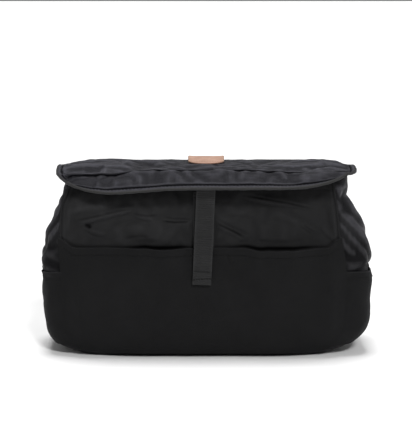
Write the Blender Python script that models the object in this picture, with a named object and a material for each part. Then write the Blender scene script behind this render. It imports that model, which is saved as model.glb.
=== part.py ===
"""Messenger bag with a fold-over flap, a front slip pocket and a webbing closure strap.

Metres, +Z up.  The bag stands on its base: the origin is the centre of the base,
the front faces -Y and the wearer's back faces +Y.  Every sewn piece is a closed
sheet of fabric, and neighbouring pieces keep a small gap.
"""
import math

import bpy
from mathutils import Vector

# ---- driving dimensions ----
GAP = 0.0003                  # clearance between pieces that touch
FABRIC = 0.0014               # outer fabric with its backing
LINING_CLOTH = 0.0007
RIM_Z = 0.190                 # top edge of the walls
FLOOR_CLOTH = 0.0018          # thickness of the sewn bottom
BOARD = 0.0024                # stiffener that lies inside the bottom
POCKET_HEM_Z = 0.120
SIDE_HEM_Z = 0.092
POCKET_DEPTH = 0.0075         # room inside the front pocket at its mouth

FLAP_HALF_WIDTH = 0.162
FLAP_CENTRE_Y = -0.0115
FLAP_HALF_DEPTH = 0.0665      # from the outline's centre to the front of its curve
FLAP_REAR_DEPTH = 0.074       # from the outline's centre to the back of its curve, past the cut
FLAP_ROUND = 4.3              # exponent of the flap's plan outline
FLAP_BACK_Y = 0.055
FLAP_FRONT_Y = -0.0765
CREASE_Y = -0.050
CREASE_Z = 0.1985             # top surface of the flap at the crease
FLAP_RISE = -0.020            # slope of the flap's top towards the back
LIP_SLOPE = 0.58              # slope of the front lip, falling to the front
END_DROOP = 0.001             # how far the flap's ends hang down
FLAP_CLOTH = 0.0022
BINDING_RADIUS = 0.0012
HINGE_Y = 0.0565
HINGE_Z = 0.1935

WEBBING = 0.0014
CLOSURE_WIDTH = 0.020
CLOSURE_TILT = 0.0048         # how far the strap's end leans towards -X
SNAP_RADIUS = 0.0070
SNAP_Z = 0.150

RING_X = 0.132                # both D-rings, left and right of the middle
RING_Y = 0.0630
RING_Z = 0.160
RING_WIRE = 0.0015
RING_HALF_WIDTH = 0.0155
RING_DROP = 0.017
TAB_WIDTH = 0.024
TAB_CLOTH = 0.0012
TAB_TOP = 0.183
HOOK_RADIUS = 0.0065
HOOK_WIRE = 0.0013
GATE_WIRE = 0.0009
GATE_HALF_ANGLE = math.radians(40)
GATE_SEAT = math.radians(11)  # turn from the gate's end to the hook's end
HOOK_STEM = 0.0064            # length of the hook's stem, from the middle of its wire
BASE_HALF_WIDTH = 0.0185
BASE_WIRE = 0.0014
BASE_BAR_Z = 0.1115
STRAP_WIDTH = 0.030
STRAP_CLOTH = 0.0012
STRAP_Y = 0.0800              # middle of the strap where it lies behind the bag
STRAP_LOW_Z = 0.0038          # middle of the strap's layer near the floor
LAYER_STEP = 0.0018           # from the strap's main layer to its return layer
SLIDER_X = -0.030
SLIDER_HALF_LENGTH = 0.012
RETURN_END = 7.36             # where the return layer ends along the strap's route

# (height, half width), (height, depth) and (height, share of the width that is flat panel)
HALF_WIDTH = [(0.0, 0.149), (0.008, 0.163), (0.030, 0.174), (0.080, 0.1765),
              (0.130, 0.169), (0.155, 0.158), (RIM_Z, 0.149)]
FRONT_DEPTH = [(0.0, 0.050), (0.008, 0.0550), (0.030, 0.0590), (0.080, 0.0590),
               (0.119, 0.0575), (0.155, 0.0560), (RIM_Z, 0.0520)]
BACK_DEPTH = [(0.0, 0.050), (0.008, 0.0540), (0.030, 0.0575), (0.080, 0.0580),
              (0.119, 0.0565), (0.155, 0.0545), (RIM_Z, 0.0505)]
FLAT_SHARE = [(0.0, 0.88), (0.030, 0.87), (0.080, 0.865), (0.130, 0.885), (0.155, 0.915), (RIM_Z, 0.935)]

CHARCOAL = (0.022, 0.023, 0.026)
BLACK = (0.014, 0.014, 0.015)
TAN = (0.47, 0.24, 0.15)
GREY_LINING = (0.10, 0.10, 0.105)
GUNMETAL = (0.20, 0.20, 0.21)


# ---- helpers ----
def clear_scene():
    for thing in list(bpy.data.objects):
        bpy.data.objects.remove(thing, do_unlink=True)


def material(name, colour, roughness, metallic=0.0):
    made = bpy.data.materials.new(name)
    made.use_nodes = True
    shader = made.node_tree.nodes["Principled BSDF"]
    shader.inputs["Base Color"].default_value = (*colour, 1.0)
    shader.inputs["Roughness"].default_value = roughness
    shader.inputs["Metallic"].default_value = metallic
    return made


def add_mesh(name, points, faces, look, pivot=(0.0, 0.0, 0.0)):
    """Makes one object whose origin is at pivot; the points are given in world space."""
    origin = Vector(pivot)
    mesh = bpy.data.meshes.new(name)
    mesh.from_pydata([Vector(point) - origin for point in points], [], faces)
    mesh.materials.append(look)
    mesh.shade_smooth()
    mesh.set_sharp_from_angle(angle=math.radians(40))
    made = bpy.data.objects.new(name, mesh)
    made.location = origin
    bpy.context.scene.collection.objects.link(made)
    return made


def smooth_value(table, height):
    """Reads a table of (height, value) along a smooth curve through its points."""
    if height <= table[0][0]:
        return table[0][1]
    if height >= table[-1][0]:
        return table[-1][1]
    slopes = []
    for i in range(len(table)):
        low = table[max(i - 1, 0)]
        high = table[min(i + 1, len(table) - 1)]
        slopes.append((high[1] - low[1]) / (high[0] - low[0]))
    for i in range(len(table) - 1):
        z0, v0 = table[i]
        z1, v1 = table[i + 1]
        if height <= z1:
            break
    step = z1 - z0
    t = (height - z0) / step
    return ((2 * t**3 - 3 * t**2 + 1) * v0 + (t**3 - 2 * t**2 + t) * step * slopes[i]
            + (3 * t**2 - 2 * t**3) * v1 + (t**3 - t**2) * step * slopes[i + 1])


def spread(start, end, count):
    return [start + (end - start) * i / (count - 1) for i in range(count)]


def sheet(name, outer, inner, look, closed=False, pivot=(0.0, 0.0, 0.0)):
    """A closed solid between two grids of points with the same rows and columns."""
    rows = len(outer)
    columns = len(outer[0])
    points = [p for row in outer for p in row] + [p for row in inner for p in row]
    offset = rows * columns
    last = columns if closed else columns - 1
    faces = []
    for r in range(rows - 1):
        for c in range(last):
            a = r * columns + c
            b = r * columns + (c + 1) % columns
            faces.append((a, b, b + columns, a + columns))
            faces.append((offset + a, offset + a + columns, offset + b + columns, offset + b))
    for c in range(last):
        n = (c + 1) % columns
        faces.append((c, c + offset, n + offset, n))
        top = (rows - 1) * columns
        faces.append((top + c, top + n, top + n + offset, top + c + offset))
    if not closed:
        for r in range(rows - 1):
            a = r * columns
            faces.append((a, a + columns, a + columns + offset, a + offset))
            b = a + columns - 1
            faces.append((b, b + offset, b + columns + offset, b + columns))
    return add_mesh(name, points, faces, look, pivot)


def prism(name, ring, low, high, look):
    """An upright prism on a ring of (x, y) that runs anticlockwise seen from above."""
    count = len(ring)
    points = [(x, y, low) for x, y in ring] + [(x, y, high) for x, y in ring]
    faces = [tuple(reversed(range(count))), tuple(range(count, 2 * count))]
    for i in range(count):
        n = (i + 1) % count
        faces.append((i, n, n + count, i + count))
    return add_mesh(name, points, faces, look)


def tube(name, path, radius, sides, look, closed=False, pivot=(0.0, 0.0, 0.0)):
    """A round wire along a list of points, with flat ends or closed on itself."""
    path = [Vector(p) for p in path]
    count = len(path)
    tangents = []
    for i in range(count):
        ahead = path[(i + 1) % count] if closed or i < count - 1 else path[i]
        behind = path[i - 1] if closed or i > 0 else path[i]
        tangents.append((ahead - behind).normalized())
    guide = Vector((0, 0, 1)) if abs(tangents[0].z) < 0.9 else Vector((0, 1, 0))
    side = (guide - tangents[0] * guide.dot(tangents[0])).normalized()
    points = []
    for centre, tangent in zip(path, tangents):
        side = (side - tangent * side.dot(tangent)).normalized()
        across = tangent.cross(side)
        for k in range(sides):
            angle = 2 * math.pi * k / sides
            points.append(centre + (side * math.cos(angle) + across * math.sin(angle)) * radius)
    faces = []
    for i in range(count if closed else count - 1):
        for k in range(sides):
            a = i * sides + k
            b = i * sides + (k + 1) % sides
            n = ((i + 1) % count) * sides
            faces.append((a, b, n + (k + 1) % sides, n + k))
    if not closed:
        faces.append(tuple(reversed(range(sides))))
        faces.append(tuple(range((count - 1) * sides, count * sides)))
    return add_mesh(name, points, faces, look, pivot)


# ---- the bag's outer form ----
def section(z, cut):
    """Half width, front depth, back depth, panel corner x and exponent at a height, inset by cut."""
    wide = smooth_value(HALF_WIDTH, z)
    share = smooth_value(FLAT_SHARE, z)
    corner_x = wide * share
    exponent = 5.2 + (share - 0.86) / 0.08 * 2.8
    return (wide - cut, smooth_value(FRONT_DEPTH, z) - cut, smooth_value(BACK_DEPTH, z) - cut,
            corner_x, exponent)


def panel_point(x_share, z, cut, back=False):
    """A point of the front or back wall; x_share runs from -1 to 1 between its seams."""
    wide, front, rear, corner_x, exponent = section(z, cut)
    x = x_share * (corner_x - GAP / 2)
    depth = (rear if back else front) * (1 - (abs(x) / wide) ** exponent) ** (1 / exponent)
    return Vector((x, depth if back else -depth, z))


def gusset_point(turn, z, cut, side):
    """A point of a side wall; turn runs from -1 at the front seam to 1 at the back seam."""
    wide, front, rear, corner_x, exponent = section(z, cut)
    depth = rear if turn > 0 else front
    reach = (1 - ((corner_x + GAP / 2) / wide) ** exponent) ** (1 / exponent)
    y_share = reach * math.sin(abs(turn) * math.pi / 2) ** 0.8
    x = wide * (1 - y_share**exponent) ** (1 / exponent)
    return Vector((side * x, math.copysign(depth * y_share, turn), z))


WALL_HEIGHTS = [0.0, 0.003, 0.008, 0.018, 0.032, 0.052, 0.072, SIDE_HEM_Z, 0.112, 0.131, 0.150, 0.168, RIM_Z]
GUSSET_TURNS = spread(-1, 1, 13)


def wall_panel(name, look, back):
    shares = spread(-1, 1, 15)
    grids = []
    for cut in (0.0, FABRIC):
        grids.append([[panel_point(s, z, cut, back) for s in shares] for z in WALL_HEIGHTS])
    if back:
        grids.reverse()
    return sheet(name, grids[0], grids[1], look)


def gusset(name, look, side):
    grids = []
    for cut in (0.0, FABRIC):
        grids.append([[gusset_point(t, z, cut, side) for t in GUSSET_TURNS] for z in WALL_HEIGHTS])
    if side < 0:
        grids.reverse()
    return sheet(name, grids[0], grids[1], look)


def whole_ring(z, cut, per_panel=9, per_gusset=9):
    """The bag's whole outline at a height, anticlockwise from the front left corner."""
    ring = [panel_point(s, z, cut) for s in spread(-1, 1, per_panel)]
    ring += [gusset_point(t, z, cut, 1) for t in spread(-1, 1, per_gusset)[1:-1]]
    ring += [panel_point(s, z, cut, True) for s in spread(1, -1, per_panel)]
    ring += [gusset_point(t, z, cut, -1) for t in spread(1, -1, per_gusset)[1:-1]]
    return ring


def bottom_panel(look):
    ring = [(p.x, p.y) for p in whole_ring(0.0, FABRIC + GAP)]
    return prism("bottom_panel", ring, 0.0, FLOOR_CLOTH, look)


def base_board(look):
    low = FLOOR_CLOTH + GAP
    ring = [(p.x, p.y) for p in whole_ring(0.0, FABRIC + 0.002)]
    return prism("base_board", ring, low, low + BOARD, look)


def lining(look):
    """The inner bag: an open box of thin cloth inside the walls and above the base board."""
    floor = FLOOR_CLOTH + BOARD + 2 * GAP
    heights = [floor] + [z for z in WALL_HEIGHTS if floor < z < RIM_Z] + [RIM_Z - 0.001]
    outside = [whole_ring(z, FABRIC + 0.0009) for z in heights]
    inside = [whole_ring(z, FABRIC + 0.0009 + LINING_CLOTH) for z in heights]
    inside[0] = [Vector((p.x, p.y, floor + LINING_CLOTH)) for p in inside[0]]
    count = len(outside[0])
    points = [p for ring in outside + inside for p in ring]
    levels = len(heights)
    inner = levels * count
    faces = []
    for r in range(levels - 1):
        for i in range(count):
            n = (i + 1) % count
            a = r * count
            faces.append((a + i, a + n, a + count + n, a + count + i))
            b = inner + a
            faces.append((b + i, b + count + i, b + count + n, b + n))
    top = (levels - 1) * count
    for i in range(count):
        n = (i + 1) % count
        faces.append((top + i, top + n, inner + top + n, inner + top + i))
    faces.append(tuple(reversed(range(count))))
    faces.append(tuple(range(inner, inner + count)))
    return add_mesh("lining", points, faces, look)


# ---- front pocket and side pockets ----
def pocket_stand_off(z):
    """How far the pocket's outer face stands in front of the front panel."""
    full = FABRIC + POCKET_DEPTH
    low = FABRIC + GAP
    t = min(max((z - 0.008) / 0.045, 0.0), 1.0)
    return low + (full - low) * t * t * (3 - 2 * t)


def pocket_point(x_share, z, cut):
    base = panel_point(x_share, z, 0.0)
    stand = pocket_stand_off(z)
    edge = min((1 - abs(x_share)) / 0.14, 1.0)
    close = FABRIC + GAP
    reach = close + (stand - close) * math.sin(edge * math.pi / 2)
    return Vector((base.x, base.y - reach + cut, z))


def front_pocket(look):
    shares = spread(-1, 1, 21)
    heights = [0.004, 0.008, 0.014, 0.022, 0.032, 0.045, 0.062, 0.080, 0.098, POCKET_HEM_Z - 0.008]
    outer = [[pocket_point(s, z, 0.0) for s in shares] for z in heights]
    inner = [[pocket_point(s, z, FABRIC) for s in shares] for z in heights]
    return sheet("front_pocket", outer, inner, look)


def pocket_hem(look):
    """The folded hem along the pocket's mouth, in three layers of cloth."""
    shares = spread(-1, 1, 21)
    heights = [POCKET_HEM_Z - 0.008 + GAP, POCKET_HEM_Z - 0.004, POCKET_HEM_Z]
    outer = [[pocket_point(s, z, -0.0005) for s in shares] for z in heights]
    inner = [[pocket_point(s, z, FABRIC) for s in shares] for z in heights]
    return sheet("pocket_hem", outer, inner, look)


def side_pocket(name, look, side):
    """A slip pocket that lies flat on the gusset up to half its height."""
    turns = GUSSET_TURNS[1:-1]
    heights = [z for z in WALL_HEIGHTS if 0.01 < z <= SIDE_HEM_Z]
    clear = 2 * GAP
    outer = [[gusset_point(t, z, -FABRIC - clear, side) for t in turns] for z in heights]
    inner = [[gusset_point(t, z, -clear, side) for t in turns] for z in heights]
    if side < 0:
        outer, inner = inner, outer
    return sheet(name, outer, inner, look)


# ---- flap ----
def flap_reach(y):
    """Half width of the flap's plan outline at y."""
    depth = FLAP_HALF_DEPTH if y < FLAP_CENTRE_Y else FLAP_REAR_DEPTH
    share = abs(y - FLAP_CENTRE_Y) / depth
    return FLAP_HALF_WIDTH * (1 - share**FLAP_ROUND) ** (1 / FLAP_ROUND)


def flap_height(x, y):
    """Height of the flap's top surface."""
    droop = END_DROOP * (abs(x) / FLAP_HALF_WIDTH) ** 6
    if y > CREASE_Y:
        return CREASE_Z + FLAP_RISE * (y - CREASE_Y) - droop
    return CREASE_Z - LIP_SLOPE * (CREASE_Y - y) - droop


def flap_grid(rows, lower):
    shares = [math.sin(s * math.pi / 2) for s in spread(-1, 1, 17)]
    grid = []
    for y in rows:
        reach = flap_reach(y)
        grid.append([Vector((s * reach, y, flap_height(s * reach, y) - lower)) for s in shares])
    return grid


FLAP_ROWS = [FLAP_BACK_Y, 0.049, 0.042, 0.032, 0.018, 0.0, -0.020, -0.036, CREASE_Y + GAP / 2]


def flap_top(look):
    rows = FLAP_ROWS
    pivot = (0.0, HINGE_Y, HINGE_Z)
    return sheet("flap_top", flap_grid(rows, FLAP_CLOTH), flap_grid(rows, 0.0), look, pivot=pivot)


def flap_lip(look):
    rows = [CREASE_Y - GAP / 2, -0.058, -0.066, -0.072, FLAP_FRONT_Y]
    pivot = (0.0, CREASE_Y, CREASE_Z)
    return sheet("flap_lip", flap_grid(rows, FLAP_CLOTH), flap_grid(rows, 0.0), look, pivot=pivot)


def edge_point(y, side):
    """The middle of the binding beside the flap's rounded end."""
    off = BINDING_RADIUS + 2 * GAP
    x = flap_reach(y)
    step = 0.0005
    slope = Vector((flap_reach(y + step) - flap_reach(y - step), 2 * step, 0)).normalized()
    outward = Vector((slope.y, -slope.x, 0))
    spot = Vector((x, y, 0)) + outward * off
    return Vector((side * spot.x, spot.y, flap_height(x, y) - FLAP_CLOTH / 2))


def flap_binding_end(name, look, side):
    path = [edge_point(y, side) for y in FLAP_ROWS[1:-1] + [CREASE_Y + 0.001]]
    return tube(name, path, BINDING_RADIUS, 6, look, pivot=(0.0, HINGE_Y, HINGE_Z))


def flap_binding_front(look):
    side_rows = [-0.0515, -0.058, -0.063, -0.067, -0.070, -0.0725, -0.0745]
    left = [edge_point(y, -1) for y in side_rows]
    off = BINDING_RADIUS + 2 * GAP
    z = flap_height(0.0, FLAP_FRONT_Y) - FLAP_CLOTH / 2
    reach = flap_reach(FLAP_FRONT_Y) - 0.004
    front = [Vector((x, FLAP_FRONT_Y - off, z)) for x in spread(-reach, reach, 8)]
    right = [edge_point(y, 1) for y in reversed(side_rows)]
    pivot = (0.0, CREASE_Y, CREASE_Z)
    return tube("flap_binding_front", left + front + right, BINDING_RADIUS, 6, look, pivot=pivot)


def leather_tag(look):
    """A small tag on the flap's rear edge, its front end rounded."""
    half = 0.0195
    back_y = FLAP_BACK_Y - 0.001
    front_y = 0.016
    rows = spread(back_y, front_y, 7)
    grids = []
    for lift in (GAP, GAP + 0.0013):
        grid = []
        for y in rows:
            t = max((0.030 - y) / 0.014, 0.0)
            reach = half * (1 - 0.55 * t**3)
            grid.append([Vector((s * reach, y, flap_height(0.0, y) + lift)) for s in spread(-1, 1, 5)])
        grids.append(grid)
    return sheet("leather_tag", grids[0], grids[1], look, pivot=(0.0, HINGE_Y, HINGE_Z))


# ---- closure strap ----
CLOSURE_LINE = [(0.077, -0.0700), (0.100, -0.0698), (0.120, -0.0690), (0.135, -0.0660),
                (0.150, -0.0640), (0.165, -0.0646), (0.183, -0.0680)]   # (z, y) of its middle


def closure_point(z, x, lift):
    lean = CLOSURE_TILT * (CLOSURE_LINE[-1][0] - z) / (CLOSURE_LINE[-1][0] - CLOSURE_LINE[0][0])
    return Vector((x - lean, smooth_value(CLOSURE_LINE, z) + lift, z))


def closure_strap(look):
    half = CLOSURE_WIDTH / 2
    heights = spread(CLOSURE_LINE[0][0], CLOSURE_LINE[-1][0], 22)
    front = [[closure_point(z, x, -WEBBING / 2) for x in (-half, 0.0, half)] for z in heights]
    back = [[closure_point(z, x, WEBBING / 2) for x in (-half, 0.0, half)] for z in heights]
    pivot = (0.0, CLOSURE_LINE[-1][1], CLOSURE_LINE[-1][0])
    return sheet("closure_strap", front, back, look, pivot=pivot)


def anchor_webbing(look):
    """The layer of webbing sewn to the front panel, from inside the pocket up to the snap."""
    half = CLOSURE_WIDTH / 2 + 0.001
    middle = -0.0035
    front = []
    back = []
    for z in spread(0.100, 0.176, 13):
        wide, depth, _, _, exponent = section(z, 0.0)
        front_row = []
        back_row = []
        for x in (middle - half, middle, middle + half):
            surface = -depth * (1 - (abs(x) / wide) ** exponent) ** (1 / exponent)
            back_row.append(Vector((x, surface - GAP, z)))
            front_row.append(Vector((x, surface - GAP - WEBBING, z)))
        front.append(front_row)
        back.append(back_row)
    return sheet("anchor_webbing", front, back, look)


def snap_disc(name, look, front_y, depth, pivot):
    """One half of the magnetic snap: a short upright disc facing the front."""
    sides = 24
    middle_x = -0.0018
    points = []
    for y in (front_y, front_y + depth):
        for k in range(sides):
            angle = 2 * math.pi * k / sides
            points.append((middle_x + SNAP_RADIUS * math.cos(angle), y, SNAP_Z + SNAP_RADIUS * math.sin(angle)))
    faces = [tuple(range(sides)), tuple(reversed(range(sides, 2 * sides)))]
    for k in range(sides):
        n = (k + 1) % sides
        faces.append((n, k, k + sides, n + sides))
    return add_mesh(name, points, faces, look, pivot)


def snap_halves(look):
    """The socket sits on the sewn webbing and the stud on the strap's back, just clear of it."""
    webbing_front = -smooth_value(FRONT_DEPTH, SNAP_Z - SNAP_RADIUS) - GAP - WEBBING
    strap_back = closure_point(SNAP_Z, 0.0, WEBBING / 2).y
    socket_back = webbing_front - GAP
    stud_front = strap_back + GAP
    half = (socket_back - stud_front - GAP) / 2
    snap_disc("snap_socket", look, socket_back - half, half, (0, 0, 0))
    pivot = (0.0, CLOSURE_LINE[-1][1], CLOSURE_LINE[-1][0])
    snap_disc("snap_stud", look, stud_front, half, pivot)


# ---- shoulder strap and its metal parts ----
def strap_tab(name, look, side):
    """A webbing loop that curls round the D-ring's bar and is sewn to the back above it."""
    middle = RING_WIRE + GAP + TAB_CLOTH / 2
    path = [(RING_Y - middle, z) for z in spread(TAB_TOP, RING_Z, 4)[:-1]]
    for k in range(13):
        angle = math.pi + math.radians(282) * k / 12
        path.append((RING_Y + middle * math.cos(angle), RING_Z + middle * math.sin(angle)))
    inner = []
    outer = []
    for i, (y, z) in enumerate(path):
        before = path[max(i - 1, 0)]
        after = path[min(i + 1, len(path) - 1)]
        along = Vector((0, after[0] - before[0], after[1] - before[1])).normalized()
        across = Vector((0, along.z, -along.y)) * (TAB_CLOTH / 2)
        ends = [side * RING_X - TAB_WIDTH / 2, side * RING_X + TAB_WIDTH / 2]
        inner.append([Vector((x, y, z)) - across for x in ends])
        outer.append([Vector((x, y, z)) + across for x in ends])
    return sheet(name, inner, outer, look)


def d_ring(name, look, side):
    """A straight bar in the tab's loop, closed by a round bow below it."""
    low = RING_Z - RING_DROP
    path = []
    for x in spread(-RING_HALF_WIDTH, RING_HALF_WIDTH, 6):
        path.append(Vector((side * RING_X + x, RING_Y, RING_Z)))
    for k in range(1, 20):
        angle = -math.pi * k / 20
        x = RING_HALF_WIDTH * math.cos(angle)
        z = RING_Z - 0.001 + (RING_Z - low - 0.001) * math.sin(angle)
        path.append(Vector((side * RING_X + x, RING_Y, z)))
    return tube(name, path, RING_WIRE, 8, look, closed=True, pivot=(0.0, RING_Y, RING_Z))


def hook_middle_z():
    """Height of the middle of the hook's loop, which hangs on the D-ring's bow."""
    wire_low = RING_Z - RING_DROP
    return wire_low - (HOOK_RADIUS - HOOK_WIRE - RING_WIRE - GAP)


def union(first, others):
    """Joins other pieces to the first with Boolean modifiers; they stay behind as guides."""
    for number, other in enumerate(others):
        other.hide_render = True
        other.display_type = "WIRE"
        joined = first.modifiers.new("union_" + str(number), "BOOLEAN")
        joined.operation = "UNION"
        joined.object = other
        joined.solver = "EXACT"
    return first


def swivel_hook(name, look, side):
    """The hook: an open loop round the bow, with a short stem below it for the swivel."""
    centre = Vector((side * RING_X, RING_Y, hook_middle_z()))
    pivot = (0.0, RING_Y, RING_Z)
    start = GATE_HALF_ANGLE + GATE_SEAT
    end = 2 * math.pi - start
    loop = []
    for angle in spread(start, end, 21):
        loop.append(centre + Vector((0, math.cos(angle), math.sin(angle))) * HOOK_RADIUS)
    hook = tube(name, loop, HOOK_WIRE, 8, look, pivot=pivot)
    top = centre - Vector((0, 0, HOOK_RADIUS))
    stem = tube(name + "_stem", [top, top - Vector((0, 0, HOOK_STEM))], 1.4 * HOOK_WIRE, 8, look, pivot=pivot)
    return union(hook, [stem])


def gate_ends(side):
    """The gate's hinge point and its tip, on the open side of the hook's loop."""
    centre = Vector((side * RING_X, RING_Y, hook_middle_z()))
    tip = Vector((0, math.cos(GATE_HALF_ANGLE), math.sin(GATE_HALF_ANGLE))) * HOOK_RADIUS
    foot = Vector((0, math.cos(GATE_HALF_ANGLE), -math.sin(GATE_HALF_ANGLE))) * HOOK_RADIUS
    return centre + foot, centre + tip


def hook_gate(name, look, side):
    foot, tip = gate_ends(side)
    path = [foot + (tip - foot) * t for t in spread(0.0, 1.0, 4)]
    return tube(name, path, GATE_WIRE, 8, look, pivot=foot)


def swivel_base(name, look, side):
    """A flat loop that turns on the hook's stem and holds the strap on its lower bar."""
    top_z = hook_middle_z() - HOOK_RADIUS - 0.0092
    x = side * RING_X
    corners = [(-BASE_HALF_WIDTH, BASE_BAR_Z), (BASE_HALF_WIDTH, BASE_BAR_Z),
               (BASE_HALF_WIDTH, top_z - 0.004), (0.006, top_z), (-0.006, top_z),
               (-BASE_HALF_WIDTH, top_z - 0.004)]
    path = []
    for i, (cx, cz) in enumerate(corners):
        nx, nz = corners[(i + 1) % len(corners)]
        for t in (0.08, 0.5, 0.92):
            path.append(Vector((x + cx + (nx - cx) * t, RING_Y, cz + (nz - cz) * t)))
    return tube(name, path, BASE_WIRE, 8, look, closed=True, pivot=(0.0, RING_Y, RING_Z))


STRAP_ROUTE = [(-0.1325, 0.0635, 0.1000, 0.0), (-0.1390, 0.0670, 0.0850, 0.18),
               (-0.1470, 0.0745, 0.0620, 0.62), (-0.1510, 0.0792, 0.0400, 0.95),
               (-0.1460, STRAP_Y, 0.0200, 1.0), (-0.1300, STRAP_Y, 0.0080, 1.0),
               (-0.1080, STRAP_Y, 0.0042, 1.0), (-0.0800, STRAP_Y, STRAP_LOW_Z, 1.0)]


def route_value(route, position, column):
    table = [(i, stop[column]) for i, stop in enumerate(route)]
    return smooth_value(table, position)


def strap_frames(start, end, count):
    """Middle points and twists of the strap; position runs from the left hook to the right."""
    full = STRAP_ROUTE + [(-x, y, z, twist) for x, y, z, twist in reversed(STRAP_ROUTE)]
    frames = []
    for position in spread(start, end, count):
        spot = Vector([route_value(full, position, column) for column in range(3)])
        twist = route_value(full, position, 3) * math.pi / 2
        if position > len(STRAP_ROUTE) - 0.5:
            twist = math.pi - twist
        frames.append((spot, twist))
    return frames


def ribbon(name, frames, lift, width, thickness, look, pivot):
    """A flat strap along its frames, moved by lift along its own normal."""
    front = []
    back = []
    for i, (spot, twist) in enumerate(frames):
        before = frames[max(i - 1, 0)][0]
        after = frames[min(i + 1, len(frames) - 1)][0]
        along = (after - before).normalized()
        wide = Vector((math.cos(twist), math.sin(twist), 0.0))
        wide = (wide - along * wide.dot(along)).normalized()
        normal = along.cross(wide)
        centre = spot + normal * lift
        edges = [centre - wide * width / 2, centre, centre + wide * width / 2]
        front.append([edge + normal * thickness / 2 for edge in edges])
        back.append([edge - normal * thickness / 2 for edge in edges])
    return sheet(name, back, front, look, pivot=pivot)


def strap_end_loop(name, look, side):
    """The strap's end, folded round the swivel base's bar."""
    middle = BASE_WIRE + GAP + STRAP_CLOTH / 2
    path = [(RING_Y - middle, 0.1000 + GAP), (RING_Y - middle, 0.1055)]
    for k in range(9):
        angle = math.pi - math.pi * k / 8
        path.append((RING_Y + middle * math.cos(angle), BASE_BAR_Z + middle * math.sin(angle)))
    path += [(RING_Y + middle, 0.1055), (RING_Y + middle, 0.1000 + GAP)]
    inner = []
    outer = []
    for i, (y, z) in enumerate(path):
        before = path[max(i - 1, 0)]
        after = path[min(i + 1, len(path) - 1)]
        along = Vector((0, after[0] - before[0], after[1] - before[1])).normalized()
        across = Vector((0, along.z, -along.y)) * (STRAP_CLOTH / 2)
        ends = [side * RING_X + share * STRAP_WIDTH / 2 for share in (-1, 1)]
        inner.append([Vector((x, y, z)) - across for x in ends])
        outer.append([Vector((x, y, z)) + across for x in ends])
    return sheet(name, inner, outer, look, pivot=(0.0, RING_Y, RING_Z))


def strap_slider(look):
    """A three-bar slider: two bars above the webbing, one below, joined by side rails."""
    half_y = STRAP_WIDTH / 2 + 0.0006
    rail = 0.0030
    low = STRAP_LOW_Z - STRAP_CLOTH / 2 - GAP
    high = STRAP_LOW_Z + LAYER_STEP + STRAP_CLOTH / 2 + GAP
    bar = 0.0022
    bottom = low - bar
    top = high + bar
    length = SLIDER_HALF_LENGTH
    rim = half_y + rail / 2
    bars = []
    for x0, x1, z0, z1 in ((-length, 0.005 - length, high, top), (-0.003, 0.003, bottom, low),
                           (length - 0.005, length, high, top)):
        bars.append(box_mesh(SLIDER_X + x0, SLIDER_X + x1, STRAP_Y - rim, STRAP_Y + rim, z0, z1))
    rails = []
    for sign in (-1, 1):
        edge = STRAP_Y + sign * half_y
        y0, y1 = sorted((edge, edge + sign * rail))
        rails.append(box_mesh(SLIDER_X - length, SLIDER_X + length, y0, y1, bottom, top))
    pivot = (SLIDER_X, STRAP_Y, STRAP_LOW_Z)
    blocks = rails + bars
    first = add_mesh("strap_slider", *blocks[0], look, pivot)
    others = [add_mesh("slider_block_" + str(i), *block, look, pivot) for i, block in enumerate(blocks[1:])]
    return union(first, others)


def box_mesh(x0, x1, y0, y1, z0, z1):
    points = [(x, y, z) for z in (z0, z1) for x, y in ((x0, y0), (x1, y0), (x1, y1), (x0, y1))]
    faces = [(3, 2, 1, 0), (4, 5, 6, 7), (0, 1, 5, 4), (1, 2, 6, 5), (2, 3, 7, 6), (3, 0, 4, 7)]
    return points, faces


def build_body(fabric, dark_fabric, inner_cloth, board):
    wall_panel("front_panel", fabric, back=False)
    wall_panel("back_panel", fabric, back=True)
    gusset("gusset_left", fabric, -1)
    gusset("gusset_right", fabric, 1)
    bottom_panel(dark_fabric)
    base_board(board)
    lining(inner_cloth)
    front_pocket(dark_fabric)
    pocket_hem(dark_fabric)
    side_pocket("side_pocket_left", dark_fabric, -1)
    side_pocket("side_pocket_right", dark_fabric, 1)


def build_flap(fabric, edge, leather):
    flap_top(fabric)
    flap_lip(fabric)
    flap_binding_end("flap_binding_left", edge, -1)
    flap_binding_end("flap_binding_right", edge, 1)
    flap_binding_front(edge)
    leather_tag(leather)


def build_closure(webbing, metal):
    closure_strap(webbing)
    anchor_webbing(webbing)
    snap_halves(metal)


def build_shoulder_strap(webbing, metal, plastic):
    pivot = (0.0, RING_Y, RING_Z)
    last = 2 * len(STRAP_ROUTE) - 1
    for side, word in ((-1, "left"), (1, "right")):
        strap_tab("strap_tab_" + word, webbing, side)
        d_ring("d_ring_" + word, metal, side)
        swivel_hook("swivel_hook_" + word, metal, side)
        hook_gate("hook_gate_" + word, metal, side)
        swivel_base("swivel_base_" + word, metal, side)
        strap_end_loop("strap_end_" + word, webbing, side)
    main = strap_frames(0.0, last, 64)
    ribbon("shoulder_strap", main, 0.0, STRAP_WIDTH, STRAP_CLOTH, webbing, pivot)
    doubled = strap_frames(0.35, RETURN_END, 32)
    ribbon("strap_return_layer", doubled, LAYER_STEP, STRAP_WIDTH - 0.0006, STRAP_CLOTH, webbing, pivot)
    strap_slider(plastic)


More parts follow.
